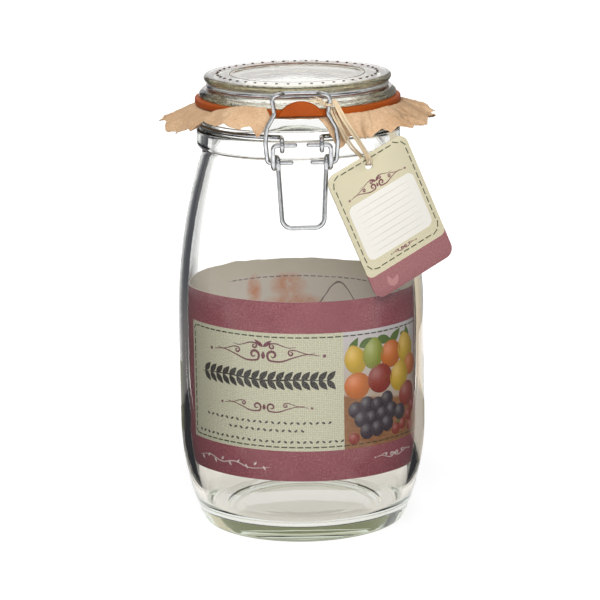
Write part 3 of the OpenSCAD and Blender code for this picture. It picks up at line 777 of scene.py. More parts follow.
# Trees that repeat a small shape
def new_tree(name, sizes):
    """A tree with named sizes and a finish; gives its inputs and calls to add a node and to end it."""
    tree = bpy.data.node_groups.new(name, "GeometryNodeTree")
    tree.interface.new_socket("Geometry", in_out="INPUT", socket_type="NodeSocketGeometry")
    for label, kind in sizes + [("Finish", "Material")]:
        tree.interface.new_socket(label, in_out="INPUT", socket_type="NodeSocket" + kind)
    tree.interface.new_socket("Geometry", in_out="OUTPUT", socket_type="NodeSocketGeometry")
    given, out = tree.nodes.new("NodeGroupInput").outputs, tree.nodes.new("NodeGroupOutput")

    def add(kind, inputs, result=0, **settings):
        return add_node(tree, kind, inputs, result, **settings)

    def end(geometry):
        whole = add("GeometryNodeRealizeInstances", {"Geometry": geometry})
        painted = add("GeometryNodeSetMaterial", {"Geometry": whole, "Material": given["Finish"]})
        tree.links.new(painted, out.inputs["Geometry"])
        return tree

    return given, add, end


def dash_tree():
    """Dashes along a line, lying on the surface that the line's way_up attribute stands out from."""
    sizes = [(label, "Float") for label in ("Pitch", "Length", "Width", "Height")]
    given, add, end = new_tree("printed_dashes", sizes)
    line = add("GeometryNodeMeshToCurve", {"Mesh": given["Geometry"]})
    stops = add("GeometryNodeResampleCurve", {"Curve": line, "Length": given["Pitch"]}, mode="LENGTH")
    size = add("ShaderNodeCombineXYZ", {0: given["Length"], 1: given["Width"], 2: given["Height"]})
    dash, along = add("GeometryNodeMeshCube", {"Size": size}), add("GeometryNodeInputTangent", {})
    up = add("GeometryNodeInputNamedAttribute", {"Name": "way_up"}, data_type="FLOAT_VECTOR")
    turned = add("FunctionNodeAlignRotationToVector", {"Vector": along}, axis="X")
    laid = add("FunctionNodeAlignRotationToVector", {"Rotation": turned, "Vector": up}, axis="Z", pivot_axis="X")
    return end(add("GeometryNodeInstanceOnPoints", {"Points": stops, "Instance": dash, "Rotation": laid}))


def dot_tree():
    """A ring of low round dots."""
    sizes = [("Count", "Int")] + [(label, "Float") for label in ("Ring", "Dot", "Rise")]
    given, add, end = new_tree("lid_dots", sizes)
    ring = add("GeometryNodeMeshCircle", {"Vertices": given["Count"], "Radius": given["Ring"]})
    up = add("ShaderNodeCombineXYZ", {2: given["Rise"]})
    ring = add("GeometryNodeSetPosition", {"Geometry": ring, "Offset": up})
    dot = add("GeometryNodeMeshUVSphere", {"Segments": 12, "Rings": 6, "Radius": given["Dot"]})
    return end(add("GeometryNodeInstanceOnPoints", {"Points": ring, "Instance": dot, "Scale": (1.0, 1.0, 0.45)}))


def grown(name, tree, values, line=(), ups=()):
    """The piece that a tree makes from its values, and from a line of points with its ways up."""
    mesh = bpy.data.meshes.new(name)
    mesh.from_pydata([p * MM for p in line], [(i, i + 1) for i in range(len(line) - 1)], [])
    if ups:
        way = mesh.attributes.new("way_up", "FLOAT_VECTOR", "POINT")
        way.data.foreach_set("vector", [c for up in ups for c in up])
    piece = linked(name, mesh)
    growth = piece.modifiers.new("growth", "NODES")
    growth.node_group = tree
    for item in tree.interface.items_tree:
        if item.in_out == "INPUT" and item.name in values:
            growth[item.identifier] = values[item.name]
    made = evaluated_mesh(piece)
    piece.modifiers.remove(growth)
    piece.data = made
    return piece


DASHES = dash_tree()
dots = grown("lid_dot_ring", dot_tree(), {
    "Count": DOT_COUNT, "Ring": DOT_RING_R * MM, "Dot": DOT_R * MM, "Rise": (LID_TOP_Z + 0.02) * MM, "Finish": DOT})
dots.data.shade_smooth()
on_body(dots, "lid", "lid_glass")
recess_profile = [(RECESS_R + 0.35 + RECESS_LINE_R * cos(a), LID_TOP_Z - 0.14 + RECESS_LINE_R * sin(a))
                  for a in turns(10)]
on_body(lathe("lid_recess_line", recess_profile, RECESS_EDGE, loop=True), "lid", "lid_glass")


# Rubber ring with its pull tab
def make_gasket():
    inner, top = MOUTH_R + 0.4, GASKET_Z + GASKET_T
    ring = lathe("rubber_ring", (
        [(inner, GASKET_Z)] + eased(GASKET_R, GASKET_Z, (-1, 0), (0, 1), 6)
        + eased(GASKET_R, top, (0, -1), (-1, 0), 6) + [(inner, top)]
    ), RUBBER, loop=True)
    low, edge, back = 0.4, 1.6, FLANGE_R + 0.6
    rise = TAB_H - edge
    arc = ((TAB_W / 2) ** 2 + rise ** 2) / (2 * rise)
    wide = asin(TAB_W / 2 / arc)
    outline = [(-TAB_W / 2, low), (TAB_W / 2, low)]
    outline += [(arc * sin(a), TAB_H - arc + arc * cos(a)) for a in (wide - 2 * wide * i / 28 for i in range(29))]
    work = bmesh.new()
    near = work.faces.new([work.verts.new(Vector((x, -back, GASKET_Z + z)) * MM) for x, z in outline])
    thicken(work, [near], (0, -TAB_T * MM, 0))
    rims = [e for e in work.edges if all(abs(v.co.y + (back + TAB_T) * MM) < 1e-6 for v in e.verts)]
    bmesh.ops.bevel(work, geom=rims, offset=0.8 * MM, segments=4, profile=0.5, affect="EDGES")
    tab = linked("tab", worked_mesh("tab", work))
    union = ring.modifiers.new("union", "BOOLEAN")
    union.operation, union.solver, union.object = "UNION", "EXACT", tab
    made = evaluated_mesh(ring)
    bpy.data.objects.remove(ring)
    bpy.data.objects.remove(tab)
    made.materials.clear()
    return finished("rubber_ring_with_tab", made, RUBBER, 40)


on_body(make_gasket(), "lid", "orange_rubber", "rubber_gasket")


# Wire clip, each wire as one bent run; half of it is given, from the middle to the right
def turn(centre, u, v, radius, start, stop, step=8.0):
    """Points on an arc about a centre, from u towards v."""
    count = max(2, ceil(abs(stop - start) / step))
    return [Vector(centre) + radius * (cos(a) * Vector(u) + sin(a) * Vector(v))
            for a in (radians(start + (stop - start) * i / count) for i in range(count + 1))]


def bent(points, radii):
    """A run through points, with a bend of its own radius at each inner point."""
    p = [Vector(q) for q in points]
    run = [p[0]]
    for a, b, c, radius in zip(p, p[1:], p[2:], radii):
        before, after = (b - a).normalized(), (c - b).normalized()
        angle = before.angle(after)
        inward = (after - before * before.dot(after)).normalized()
        centre = b - before * radius * tan(angle / 2) + inward * radius
        run += turn(centre, -inward, before, radius, 0, degrees(angle))
    return run + [p[-1]]


def groove_exit(r, x, z, rear):
    """Bend where a wire ring turns out of its groove at half-width x, from lead to ring, and its angle."""
    across, back = x + EXIT_R, sqrt((r + EXIT_R) ** 2 - (x + EXIT_R) ** 2)
    angle = degrees(asin(across / (r + EXIT_R)))
    run = turn((across, back, z), (-1, 0, 0), (0, -1, 0), EXIT_R, 0, 90 - angle)
    return (run if rear else [Vector((p.x, -p.y, p.z)) for p in run]), angle


def groove_ring(r, z, start, stop):
    """Ring round the jar's axis, from the rear."""
    return turn((0, 0, z), (0, 1, 0), (1, 0, 0), r, start, stop, 2.0)


def neck_wire():
    rear, rear_angle = groove_exit(NECK_WIRE_R, YOKE_X, NECK_WIRE_Z, True)
    front, front_angle = groove_exit(NECK_WIRE_R, HOOK_X, NECK_WIRE_Z, False)
    yoke = bent([(0, HINGE_Y, HINGE_Z), (YOKE_X, HINGE_Y, HINGE_Z), (YOKE_X, HINGE_Y, NECK_WIRE_Z), rear[0]],
                [EXIT_R, EXIT_R])
    eye = turn((HOOK_X, PIVOT_Y, PIVOT_Z), (0, 0, 1), (0, -1, 0), EYE_R, 0, 205)
    return yoke + rear + groove_ring(NECK_WIRE_R, NECK_WIRE_Z, rear_angle, 180 - front_angle) + front[::-1] + eye


def lid_wire():
    rear, rear_angle = groove_exit(LID_WIRE_R, LID_EYE_X, LID_WIRE_Z, True)
    eye = turn((LID_EYE_X, HINGE_Y, HINGE_Z), (0, 0, 1), (0, 1, 0), EYE_R, 0, 250)
    return groove_ring(LID_WIRE_R, LID_WIRE_Z, 180, rear_angle) + rear[::-1] + eye


def lever_wire():
    step, lever_y = WIRE_R + COIL_GAP, -(barrel_r(LEVER_Z) + WIRE_R + LEVER_GAP)
    coil = [Vector((LEVER_X - k * step, PIVOT_Y + (2 * EYE_R if k == 1 else 0), BAIL_PIVOT_Z)) for k in range(3)]
    run = bent([(0, lever_y, LEVER_Z), (LEVER_END_X, lever_y, LEVER_Z), coil[2] - Vector((0, 0, 3)), coil[2]],
               [4.6, 6])
    for a, b, up in ((coil[2], coil[1], 1), (coil[1], coil[0], -1)):
        run += turn((a + b) / 2, (a - b).normalized(), (0, 0, up), (a - b).length / 2, 0, 180)
    return run + bent([coil[0], (LEVER_X, PIVOT_Y, PIVOT_Z), (STUB_X, PIVOT_Y, PIVOT_Z)], [2.0])


def bail_wire():
    bail_y = PIVOT_Y + EYE_R
    return bent([
        (0, BAR_Y, BAR_Z), (BAR_X, BAR_Y, BAR_Z), (BAR_X + 2.2, LEG_Y + 0.1, BAR_Z), LEG_TOP, LEG_WAIST,
        (BAIL_X - 0.6, LEG_Y - 1.2, GASKET_Z - 4.6), (BAIL_X, LEG_Y - 1.4, NECK_WIRE_Z - 1.6),
        (LEVER_X + 2 * WIRE_R + 0.3, bail_y, BAIL_PIVOT_Z), (BAIL_END_X, bail_y, BAIL_PIVOT_Z),
    ], [1.8, 1.8, 2.4, 3, 4, 6, 1.8])


for node, half, body in (("neck_wire", neck_wire(), "jar"), ("lid_wire", lid_wire(), "lid"),
                         ("lever_wire", lever_wire(), "lever"), ("bail_wire", bail_wire(), "bail")):
    whole = [Vector((-p.x, p.y, p.z)) for p in reversed(half)] + half
    on_body(strands(node + "_run", [(whole, WIRE_R, 1.0)], STEEL, 20, 0.0, 4), body, "clip_wire", node)


# Paper frill: slopes below level, length cut off and rise over the rubber, at angles from the front
FRILL_SLOPES = [
    (-180, 78), (-164, 78), (-150, 48), (-132, 26), (-112, 44), (-95, 22), (-80, 32), (-68, 38), (-56, 33), (-46, 30),
    (-36, 24), (-29, 46), (-23, 66), (-18, 76), (26, 78), (34, 74), (40, 66), (44, 52), (50, 34), (60, 30), (72, 28),
    (84, 22), (95, 18), (112, 44), (132, 26), (150, 48), (164, 78), (180, 78),
]
FRILL_SHORT = [
    (-180, 5), (-150, 3), (-120, 1), (-95, 0), (-72, 0.5), (-60, 2), (-52, 3), (-46, 4), (-43, 5), (-39, 2),
    (-34, 3.5), (-29, 7.5), (-26, 6.5), (-24, 4), (-22, 3), (-20, 6), (-18, 12.5), (-16.4, 16), (-15.6, 19.6),
    (9.6, 19.4), (11, 17), (14, 12), (18.6, 2.5), (22, 2), (25, 4), (28.5, 8), (33, 3), (37, 2.5), (40, 5.5),
    (43, 8), (46, 3.5), (52, 1), (60, -0.5), (72, 0), (84, 1), (95, 1.5), (120, 1), (150, 3), (164.6, 5),
    (165.4, 19.6), (180, 19.6),
]
FRILL_RISE = [
    (-180, 0), (-64, 0), (-54, 2.0), (-40, 5.0), (-30, 7.2), (-19, 7.6), (-16.5, 3.0), (-13, 0), (14, 0), (20, 3.4),
    (40, 3.4), (70, 2.4), (95, 1.2), (115, 0), (180, 0),
]
# Length of the first bend, then degrees from tooth to tooth and of fine and broad folds
FRILL_TURN, TOOTH_STEP, FINE_FOLD, BROAD_FOLD = 2.2, 12, 7, 12
# Along the paper: where it starts to rise, sink back and crease, and over what length
FRILL_LIFT, FRILL_SINK, FRILL_CREASE = (1.9, 1.6), (3.5, 14), (3, 10)
# Angle of the hinge's notch, then the length cut off that leaves no teeth and over which they fade
HINGE_NOTCH, TOOTH_END, TOOTH_FADE = 160, 19, 8


def ramp(s, start, over):
    """0 up to a start, then rising to 1 over a length."""
    return held((s - start) / over)


def frill_point(way, s, slope, rise):
    """A point of the frill's upper face: angle from the front, distance along the paper from the clamp."""
    turned, run = min(s, FRILL_TURN), max(0.0, s - FRILL_TURN)
    lean = slope * turned / FRILL_TURN
    r = CLAMP_R + turned * cos(lean / 2) + run * cos(slope)
    z = FRILL_Z + FRILL_T - turned * sin(lean / 2) - run * sin(slope)
    up = ramp(s, *FRILL_LIFT)
    return Vector(about(r, way, z + rise * up * up * (3 - 2 * up) * (1 - 0.45 * ramp(s, *FRILL_SINK))))


def make_frill():
    columns, rows = 900, 30
    upper = []
    for i in range(columns):
        a = 360 * i / columns - 180
        way = radians(a)
        wander, fine, fold = (noise.noise(Vector((cos(way) * wide, sin(way) * wide, seed)))
                              for wide, seed in ((4, 1.7), (11, 5.1), (4.2, 8.3)))
        tooth = abs(((a + 3 * wander) / TOOTH_STEP) % 1 - 0.5) * 2
        short = lookup(FRILL_SHORT, abs(a) if abs(a) > HINGE_NOTCH else a)
        depth = FRILL_TOOTH * (1.0 + 0.4 * wander) * tooth * held((TOOTH_END - short) / TOOTH_FADE, 0.1)
        slope, rise = lookup(FRILL_SLOPES, a) + FINE_FOLD * fine + BROAD_FOLD * fold, lookup(FRILL_RISE, a)
        column = [Vector(about(FRILL_IN_R, way, FRILL_Z + FRILL_T))]
        for s in ((FRILL_L - short - depth) * k / (rows - 1) for k in range(rows)):
            p = frill_point(way, s, radians(slope), rise)
            crease = 1 - 2 * abs(noise.noise(p * 0.11)) - abs(noise.noise(p * 0.27 + Vector((9, 3, 5))))
            out = Vector((p.x, p.y, 0)).normalized()
            column.append(p + ramp(s, *FRILL_CREASE) * crease * (out * 0.5 + Vector((0, 0, 0.9))))
        upper.append(column)
    lower = []
    for i, column in enumerate(upper):
        under = []
        for k, p in enumerate(column):
            along = column[min(rows, k + 1)] - column[max(0, k - 1)]
            normal = along.cross(upper[(i + 1) % columns][k] - upper[i - 1][k]).normalized()
            under.append(p - FRILL_T * (normal if normal.z > 0 or k > 3 else -normal))
        lower.append(under)
    return Skin("frill_of_kraft_paper").add([*zip(*lower)] + [*zip(*upper)][::-1], loop=True).made(KRAFT, 50)


frill = on_body(make_frill(), "jar", "kraft_paper", "paper_frill")
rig.sheet(frill, flat=(0.138, 0.138), held="gathered", rests_on=["jar_of_clear_glass"], area=0.0082)


# Printed paper sleeve inside the glass
def sleeve_point(u, v, lift=0.0):
    """A point on the sleeve's printed face: u round it from the front, v up it, lifted towards the glass."""
    way = u / SLEEVE_R
    high, rear = max(0.0, (v - SLEEVE_H + SLEEVE_DROOP) / SLEEVE_DROOP), max(0.0, -cos(way))
    z = SLEEVE_Z + v + high * rear * (SLEEVE_WAVE * noise.noise(Vector((u * 0.09, 0, 3))) - SLEEVE_SAG)
    z -= SLEEVE_LEAN * (barrel_r(z, SLEEVE_INSET) + lift) * sin(way)
    return Vector(about(barrel_r(z, SLEEVE_INSET) + lift, way, z))


def make_sleeve():
    count, steps = 256, 44

    def u_at(i):
        return -REAR_U + 2 * REAR_U * i / count

    def row(k, lift):
        return [sleeve_point(u_at(i), SLEEVE_H * k / steps, lift) for i in range(count)]

    rows = [row(k, 0.0) for k in range(steps + 1)] + [row(k, -SLEEVE_T) for k in range(steps, -1, -1)]

    def uv(k, i):
        k %= len(rows)
        v = k if k <= steps else 2 * steps + 1 - k
        return u_at(i) / UV_MM, SLEEVE_H * v / steps / UV_MM

    piece = Skin("sleeve_of_printed_paper").add(rows, loop=True, uv=uv).made(SLEEVE_PRINT)
    piece.data.materials.append(SLEEVE_BACK)
    for face in piece.data.polygons:
        face.material_index = 0 if Vector((face.center.x, face.center.y, 0)).dot(face.normal) > 0 else 1
    return piece


sleeve = on_body(make_sleeve(), "jar", "printed_paper", "paper_sleeve")
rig.sheet(sleeve, flat=(0.351, 0.088), held="laid", rests_on=["jar_of_clear_glass"])


class Print:
    """Inked shapes on a surface, each a thin closed film over the last; place gives the surface's points."""
    # Height under the first film, and what each film adds
    first, rise = 0.03, 0.0006

    def __init__(self, place):
        self.place, self.points, self.faces, self.colours, self.layer = place, [], [], [], self.first

    def film(self, rings, colour):
        """Closed film from rings of (x, y), the first one the middle; colour may be a function of a point."""
        count, start = len(rings[-1]), len(self.points)
        self.layer += self.rise
        for lift in (self.layer, 0.0):
            for x, y in (point for ring in rings for point in ring):
                self.points.append(self.place(x, y, lift))
                self.colours.append(colour(x, y) if callable(colour) else colour)
        half = count * len(rings)
        for k in range(len(rings) - 1):
            for i in range(count):
                a, b = start + k * count + i, start + k * count + (i + 1) % count
                self.faces.append((a, a + count, b + count, b))
                self.faces.append((a + half, b + half, b + count + half, a + count + half))
        rim = start + half - count
        for i in range(count):
            a, b = rim + i, rim + (i + 1) % count
            self.faces.append((a, a + half, b + half, b))

    def blob(self, x, y, rx, ry, colour, turned=0.0, neck=0.0, shade=0.5, count=28):
        """A round or pear shape, lighter at its upper left and darker at its edge."""
        c, s = cos(radians(turned)), sin(radians(turned))

        def paint(px, py):
            dx, dy = (px - x) / rx, (py - y) / ry
            light = exp(-((dx + 0.35) ** 2 + (dy - 0.4) ** 2) * 5)
            dark = 1 - shade * min(1.0, (dx + 0.25) ** 2 + (dy - 0.25) ** 2) * 0.6
            return tuple(min(1.0, ch * dark + 0.16 * light) for ch in colour[:3]) + (1.0,)

        rings = []
        for share in (0.0, 0.3, 0.55, 0.78, 0.92, 1.0):
            ring = []
            for a in turns(count):
                narrow = 1 - neck * max(0.0, sin(a)) ** 2
                px, py = rx * share * cos(a) * narrow, ry * share * sin(a)
                ring.append((x + c * px - s * py, y + s * px + c * py))
            rings.append(ring)
        self.film(rings, paint)

    def leaf(self, x, y, length, width, turned, colour, count=10):
        c, s = cos(radians(turned)), sin(radians(turned))
        outline = []
        for sign in (1, -1):
            for i in range(count):
                t = i / count if sign > 0 else 1 - i / count
                w = sign * width / 2 * sin(pi * t ** 0.8)
                outline.append((x + c * length * t - s * w, y + s * length * t + c * w))
        middle = (x + c * length * 0.45, y + s * length * 0.45)
        self.film([[middle] * len(outline), outline], colour)

    def stroke(self, points, width, colour, steps=6):
        """A pen stroke along points, thin at both ends."""
        line = smooth([(x, y, 0) for x, y in points], steps)
        last = len(line) - 1
        left, right = [], []
        for i, p in enumerate(line):
            way = (line[min(last, i + 1)] - line[max(0, i - 1)]).normalized()
            half = width / 2 * (0.25 + 0.75 * sin(pi * i / last))
            left.append((p.x - way.y * half, p.y + way.x * half))
            right.append((p.x + way.y * half, p.y - way.x * half))
        middle = [(p.x, p.y) for p in line]
        self.film([middle + middle[::-1], right + left[::-1]], colour)

    def scroll(self, x, y, size, side, colour, width, up=1):
        """A curl with a long tail that sweeps out to one side."""
        line = []
        for i in range(13):
            a, r = radians(-150 + 400 * i / 12), 0.04 + 0.16 * i / 12
            line.append((r * cos(a), r * sin(a)))
        line += [(0.3, -0.2), (0.7, -0.06), (1.15, 0.06), (1.6, 0.0)]
        self.stroke([(x + side * size * px, y + up * size * py) for px, py in line], width, colour)

    def flourish(self, x, y, size, colour, width):
        """A divider: two mirrored curls about a lozenge, with a bead at either end."""
        for side in (-1, 1):
            self.scroll(x + side * size * 0.32, y, size, side, colour, width)
            self.scroll(x + side * size * 0.95, y + size * 0.1, size * 0.5, side, colour, width * 0.7, -1)
            self.blob(x + side * size * 2.06, y, width * 0.7, width * 0.7, colour, shade=0.0, count=10)
        self.leaf(x, y - size * 0.14, size * 0.28, size * 0.14, 90, colour)

    def crest(self, x, y, size, width, leaf, curl=None):
        """A flourish with two leaves over its middle, each a rise, length and width, and with or without curls."""
        self.flourish(x, y, size, PLUM, width)
        for side in (-1, 1):
            self.leaf(x, y + leaf[0], leaf[1], leaf[2], 90 + side * 52, PLUM)
            if curl:
                out, rise, long, thick = curl
                self.scroll(x + side * out, y + rise, long, side, PLUM, thick, -1)

    def marks(self, x, y, count, pitch=3.0):
        """A row of small slanted marks from x."""
        for i in range(count):
            self.blob(x + pitch * i, y, 0.9, 0.5, DARK, turned=35 if i % 2 else -35, shade=0.0, count=10)

    def made(self, name):
        mesh = bpy.data.meshes.new(name)
        mesh.from_pydata([p * MM for p in self.points], [], self.faces)
        shade = mesh.color_attributes.new("ink", "FLOAT_COLOR", "POINT")
        shade.data.foreach_set("color", [c for four in self.colours for c in four])
        return finished(name, mesh, INK, 60)


def print_sleeve():
    art = Print(sleeve_point)
    art.crest(-20, 62.0, 14, 1.2, (4.0, 5.4, 1.9), (4.4, 4.4, 7, 0.9))
    art.stroke([(-56, 49.4), (-38, 50.6), (-20, 49.6), (-4, 50.4), (12, 49.6)], 0.9, DARK)
    for i in range(17):
        for side in (-1, 1):
            art.leaf(-54 + 4 * i, 49.9, 6.2, 2.9, side * 48, DARK)
    art.flourish(-20, 36.5, 11, PLUM, 0.9)
    for x, y, count in ((-52.0, 29.0, 22), (-38.0, 25.2, 13), (-58.0, 19.6, 26)):
        art.marks(x, y, count)
    # Fruit on a board
    green, lime, gold = ink(86, 110, 50), ink(160, 168, 66), ink(228, 184, 52)
    amber, red, plum = ink(222, 118, 40), ink(156, 48, 36), ink(50, 32, 50)
    for x, y, long, turned in (
        (21, 62, 9, 60), (26, 65, 10, 20), (36, 68, 10, -15), (44, 64, 10, 40), (52, 68, 9, -30), (58, 62, 9, 100),
        (40, 47, 9, 70), (50, 43, 9, 20), (60, 46, 8, 60), (48, 24, 9, -20),
    ):
        art.leaf(x, y, long, long * 0.45, turned, green)
    for fruit in (
        (24, 59, 5.6, 7.4, gold, 16, 0.35), (34, 61, 6.0, 7.8, lime, -6, 0.4), (45, 59, 6.8, 6.8, amber),
        (56, 60, 6.2, 8.2, gold, 14, 0.4), (60, 51, 5.2, 5.4, amber), (25, 46, 6.8, 6.6, amber),
        (38, 48, 7.4, 7.2, red), (51, 47, 6.8, 7.6, gold, -10, 0.3), (57, 37, 6.4, 6.2, red),
    ):
        art.blob(*fruit)
    for x, y in ((24, 34), (30, 36), (36, 35), (42, 37), (27, 29), (33, 29), (39, 30), (45, 31), (30, 23), (36, 23.5),
                 (42, 25), (51, 29)):
        art.blob(x, y, 3.9, 4.1, plum)
    for x, y in ((48, 21), (53, 22.5), (58, 26), (62, 30), (60, 20.5), (23, 20)):
        art.blob(x, y, 2.9, 2.9, red)
    # Fine pale vine on the lower band
    art.stroke([(-60, 6.4), (-52, 8.2), (-44, 6.2), (-36, 7.6), (-28, 5.4), (-18, 6.6)], 0.5, PALE)
    for i in range(9):
        art.leaf(-58 + 4.6 * i, 7.0, 2.4, 1.0, 50 if i % 2 else -60, PALE)
    art.flourish(47, 9, 6, PALE, 0.6)
    # Rear panel, about its own middle
    middle = REAR_U - REAR_PANEL[0]
    art.crest(middle, 62, 13, 1.1, (4.0, 5.4, 1.9))
    for y, count in ((48, 26), (43, 30), (38, 28), (33, 24)):
        art.marks(middle - 1.5 * (count - 1), y, count)
    art.flourish(middle, 22, 9, PLUM, 0.8)
    return art.made("sleeve_ornament")


on_body(print_sleeve(), "jar", "printed_paper")


def dashes(name, points, place, up, stitch):
    """Printed stitches along a line of (x, y) on a surface."""
    line = []
    for (x0, y0), (x1, y1) in zip(points, points[1:]):
        steps = max(1, round(hypot(x1 - x0, y1 - y0)))
        line += [(x0 + (x1 - x0) * i / steps, y0 + (y1 - y0) * i / steps) for i in range(steps)]
    line.append(points[-1])
    pitch, long, wide, lift = stitch
    sizes = {"Pitch": pitch * MM, "Length": long * MM, "Width": wide * MM, "Height": STITCH_H * MM, "Finish": DASH}
    return grown(name, DASHES, sizes, [place(x, y, lift) for x, y in line], [up(x, y) for x, y in line])


REAR_BORDER = [(REAR_U + x, y) for x, y in ((38, 77), (38, 13), (-72, 13), (-72, 77), (34.3, 77))]
for name, line in (("sleeve_stitches", [(64, 17), (-62, 17), (-62, 71.0), (64, 71.0)]),
                   ("sleeve_rear_stitches", REAR_BORDER)):
    stitches = dashes(name, line, sleeve_point, lambda u, v: about(1, u / SLEEVE_R, 0), SLEEVE_STITCH)
    on_body(stitches, "jar", "printed_paper")


# Swing tag: its plane, with x across, y up it and z towards the front
tag_low_z = TAG_HOLE_Z - TAG_L + TAG_HOLE_IN
tag_out = barrel_r(tag_low_z) + 0.8 - (TAG_HOLE_Z - tag_low_z) * tan(radians(TAG_TILT))
tag_way = radians(TAG_TURN)
TAG_PLANE = (
    Matrix.Translation((tag_out * sin(tag_way) + TAG_SIDE * cos(tag_way),
                        -tag_out * cos(tag_way) + TAG_SIDE * sin(tag_way), TAG_HOLE_Z))
    @ Matrix.Rotation(tag_way, 4, "Z") @ Matrix.Rotation(radians(90 - TAG_TILT), 4, "X")
    @ Matrix.Rotation(radians(TAG_ROLL), 4, "Z") @ Matrix.Translation((0, TAG_HOLE_IN - TAG_L / 2, 0))
)
TAG_FACE = TAG_PLANE.to_3x3() @ Vector((0, 0, 1))


def tag_point(x, y, lift=0.0):
    return TAG_PLANE @ Vector((x, y, TAG_T / 2 + lift))


def rounded_outline(half_x, half_y, radius, middle_y=0.0, steps=10):
    """Points round a rounded rectangle, clockwise from its upper right."""
    line = []
    for sx, sy, start in ((1, 1, 90), (1, -1, 0), (-1, -1, -90), (-1, 1, -180)):
        x, y = sx * (half_x - radius), middle_y + sy * (half_y - radius)
        line += [(x + radius * cos(a), y + radius * sin(a))
                 for a in (radians(start - 90 * i / steps) for i in range(steps + 1))]
    return line


def make_tag():
    work = bmesh.new()
    hole_y = TAG_L / 2 - TAG_HOLE_IN
    rim = [(TAG_HOLE_R * cos(a), hole_y + TAG_HOLE_R * sin(a)) for a in turns(40)]
    edges = []
    for line in (rounded_outline(TAG_W / 2, TAG_L / 2, TAG_CORNER), rim):
        points = [work.verts.new((x, y, -TAG_T / 2)) for x, y in line]
        edges += [work.edges.new((points[i - 1], points[i])) for i in range(len(points))]
    flat = bmesh.ops.triangle_fill(work, edges=edges, use_beauty=True)
    thicken(work, [part for part in flat["geom"] if isinstance(part, bmesh.types.BMFace)], (0, 0, TAG_T))
    soft = [e for e in work.edges if len(e.link_faces) == 2 and e.calc_face_angle() > 1.2]
    bmesh.ops.bevel(work, geom=soft, offset=0.12, segments=2, profile=0.5, affect="EDGES")
    layer = work.loops.layers.uv.new("UVMap")
    for loop in (loop for face in work.faces for loop in face.loops):
        loop[layer].uv = (loop.vert.co.x / UV_MM, loop.vert.co.y / UV_MM)
    bmesh.ops.transform(work, matrix=Matrix.Scale(MM, 4) @ TAG_PLANE, verts=work.verts)
    return finished("tag_of_linen_card", worked_mesh("tag", work), CARD, 30)


def print_tag():
    art = Print(tag_point)
    art.crest(0, 17.6, 8, 0.85, (1.8, 3.6, 1.3), (2.6, 2.6, 4.4, 0.6))
    for y in (11.2 - 3.2 * i for i in range(8)):
        art.stroke([(-15.6, y), (0, y), (15.6, y)], 0.22, ink(196, 190, 176))
    art.flourish(0, -16.4, 3.6, PLUM, 0.55)
    for turned in (40, 100):
        art.leaf(-13, -30.6, 6.0, 3.0, turned, ink(180, 126, 126))
    return art.made("tag_ornament")


on_body(make_tag(), "bail", "tag_card", "swing_tag")
on_body(print_tag(), "bail", "tag_card")
border = rounded_outline(TAG_W / 2 - 2.4, 24.8, 4.0, 6.2)
border.append((border[0][0] - TAG_STITCH[0], border[0][1]))
on_body(dashes("tag_stitches", border, tag_point, lambda x, y: TAG_FACE, TAG_STITCH), "bail", "tag_card")


# Raffia tied round the bail's leg, with its short ends
KNOT_SEED, KNOT_TURNS, KNOT_R, KNOT_ENDS = 11, 2.2, 1.5, 11


def make_knot():
    top, waist = Vector(LEG_TOP), Vector(LEG_WAIST)
    high, low = top.lerp(waist, 0.26), top.lerp(waist, 0.8)
    way = (high - low).normalized()
    u = way.orthogonal().normalized()
    v = way.cross(u)
    rng = random.Random(KNOT_SEED)
    wraps = []
    for t in (i / 80 for i in range(81)):
        a = tau * KNOT_TURNS * t
        r = KNOT_R + 0.12 * sin(5 * a)
        wraps.append(low.lerp(high, 0.36 + 0.3 * t) + r * (cos(a) * u + sin(a) * v))
    runs = [(wraps, 0.34, 0.6)]
    lump = low.lerp(high, 0.5) + Vector((-1.3, 1.5, 0))
    for k in range(3):
        loop = [lump + Vector((0.9 * cos(a), 0.5 * sin(a + k), 1.1 * sin(a) + 0.4 * (k - 1)))
                for a in (tau * i / 24 + k for i in range(25))]
        runs.append((loop, 0.4, 0.65))
    for _ in range(KNOT_ENDS):
        start = lump + Vector((-0.4, rng.uniform(-0.5, 0.2), rng.uniform(-0.6, 1.2)))
        long, rise = rng.uniform(3.5, 9.0), rng.uniform(0.4, 3.2)
        middle = start + Vector((-0.5 * long, rng.uniform(-0.7, 0.3), rise * rng.uniform(0.5, 1.1)))
        tip = start + Vector((-long, rng.uniform(-0.9, 0.4), rise))
        runs.append((smooth([start, middle, tip], 10), rng.uniform(0.13, 0.3), 0.5))
    return strands("knot_of_raffia", runs, RAFFIA)


on_body(make_knot(), "bail", "raffia", "raffia_knot")
for (cord, path), carried in ((near_strands, []), (far_strands, ["knot_of_raffia"])):
    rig.cord(cord, exit=path[0], length=round(path_length(path), 4), diameter=RAFFIA_D * MM, far_end="object",
            stiffness="limp", lay="hanging", path=path, with_pieces=carried)


# Floor, studio light and the white surround
MIDDLE = (0, 0, 0.12)


def seen_white(f):
    """1 for what the camera, glass and steel see, and 0 for the light on matt surfaces."""
    seen = f.more(f.more(f.ray("Glossy"), f.ray("Transmission")), f.ray("Camera"))
    return f.times(seen, f.math("LESS_THAN", f.add("LightPath", {}, "Diffuse Depth"), 0.5))


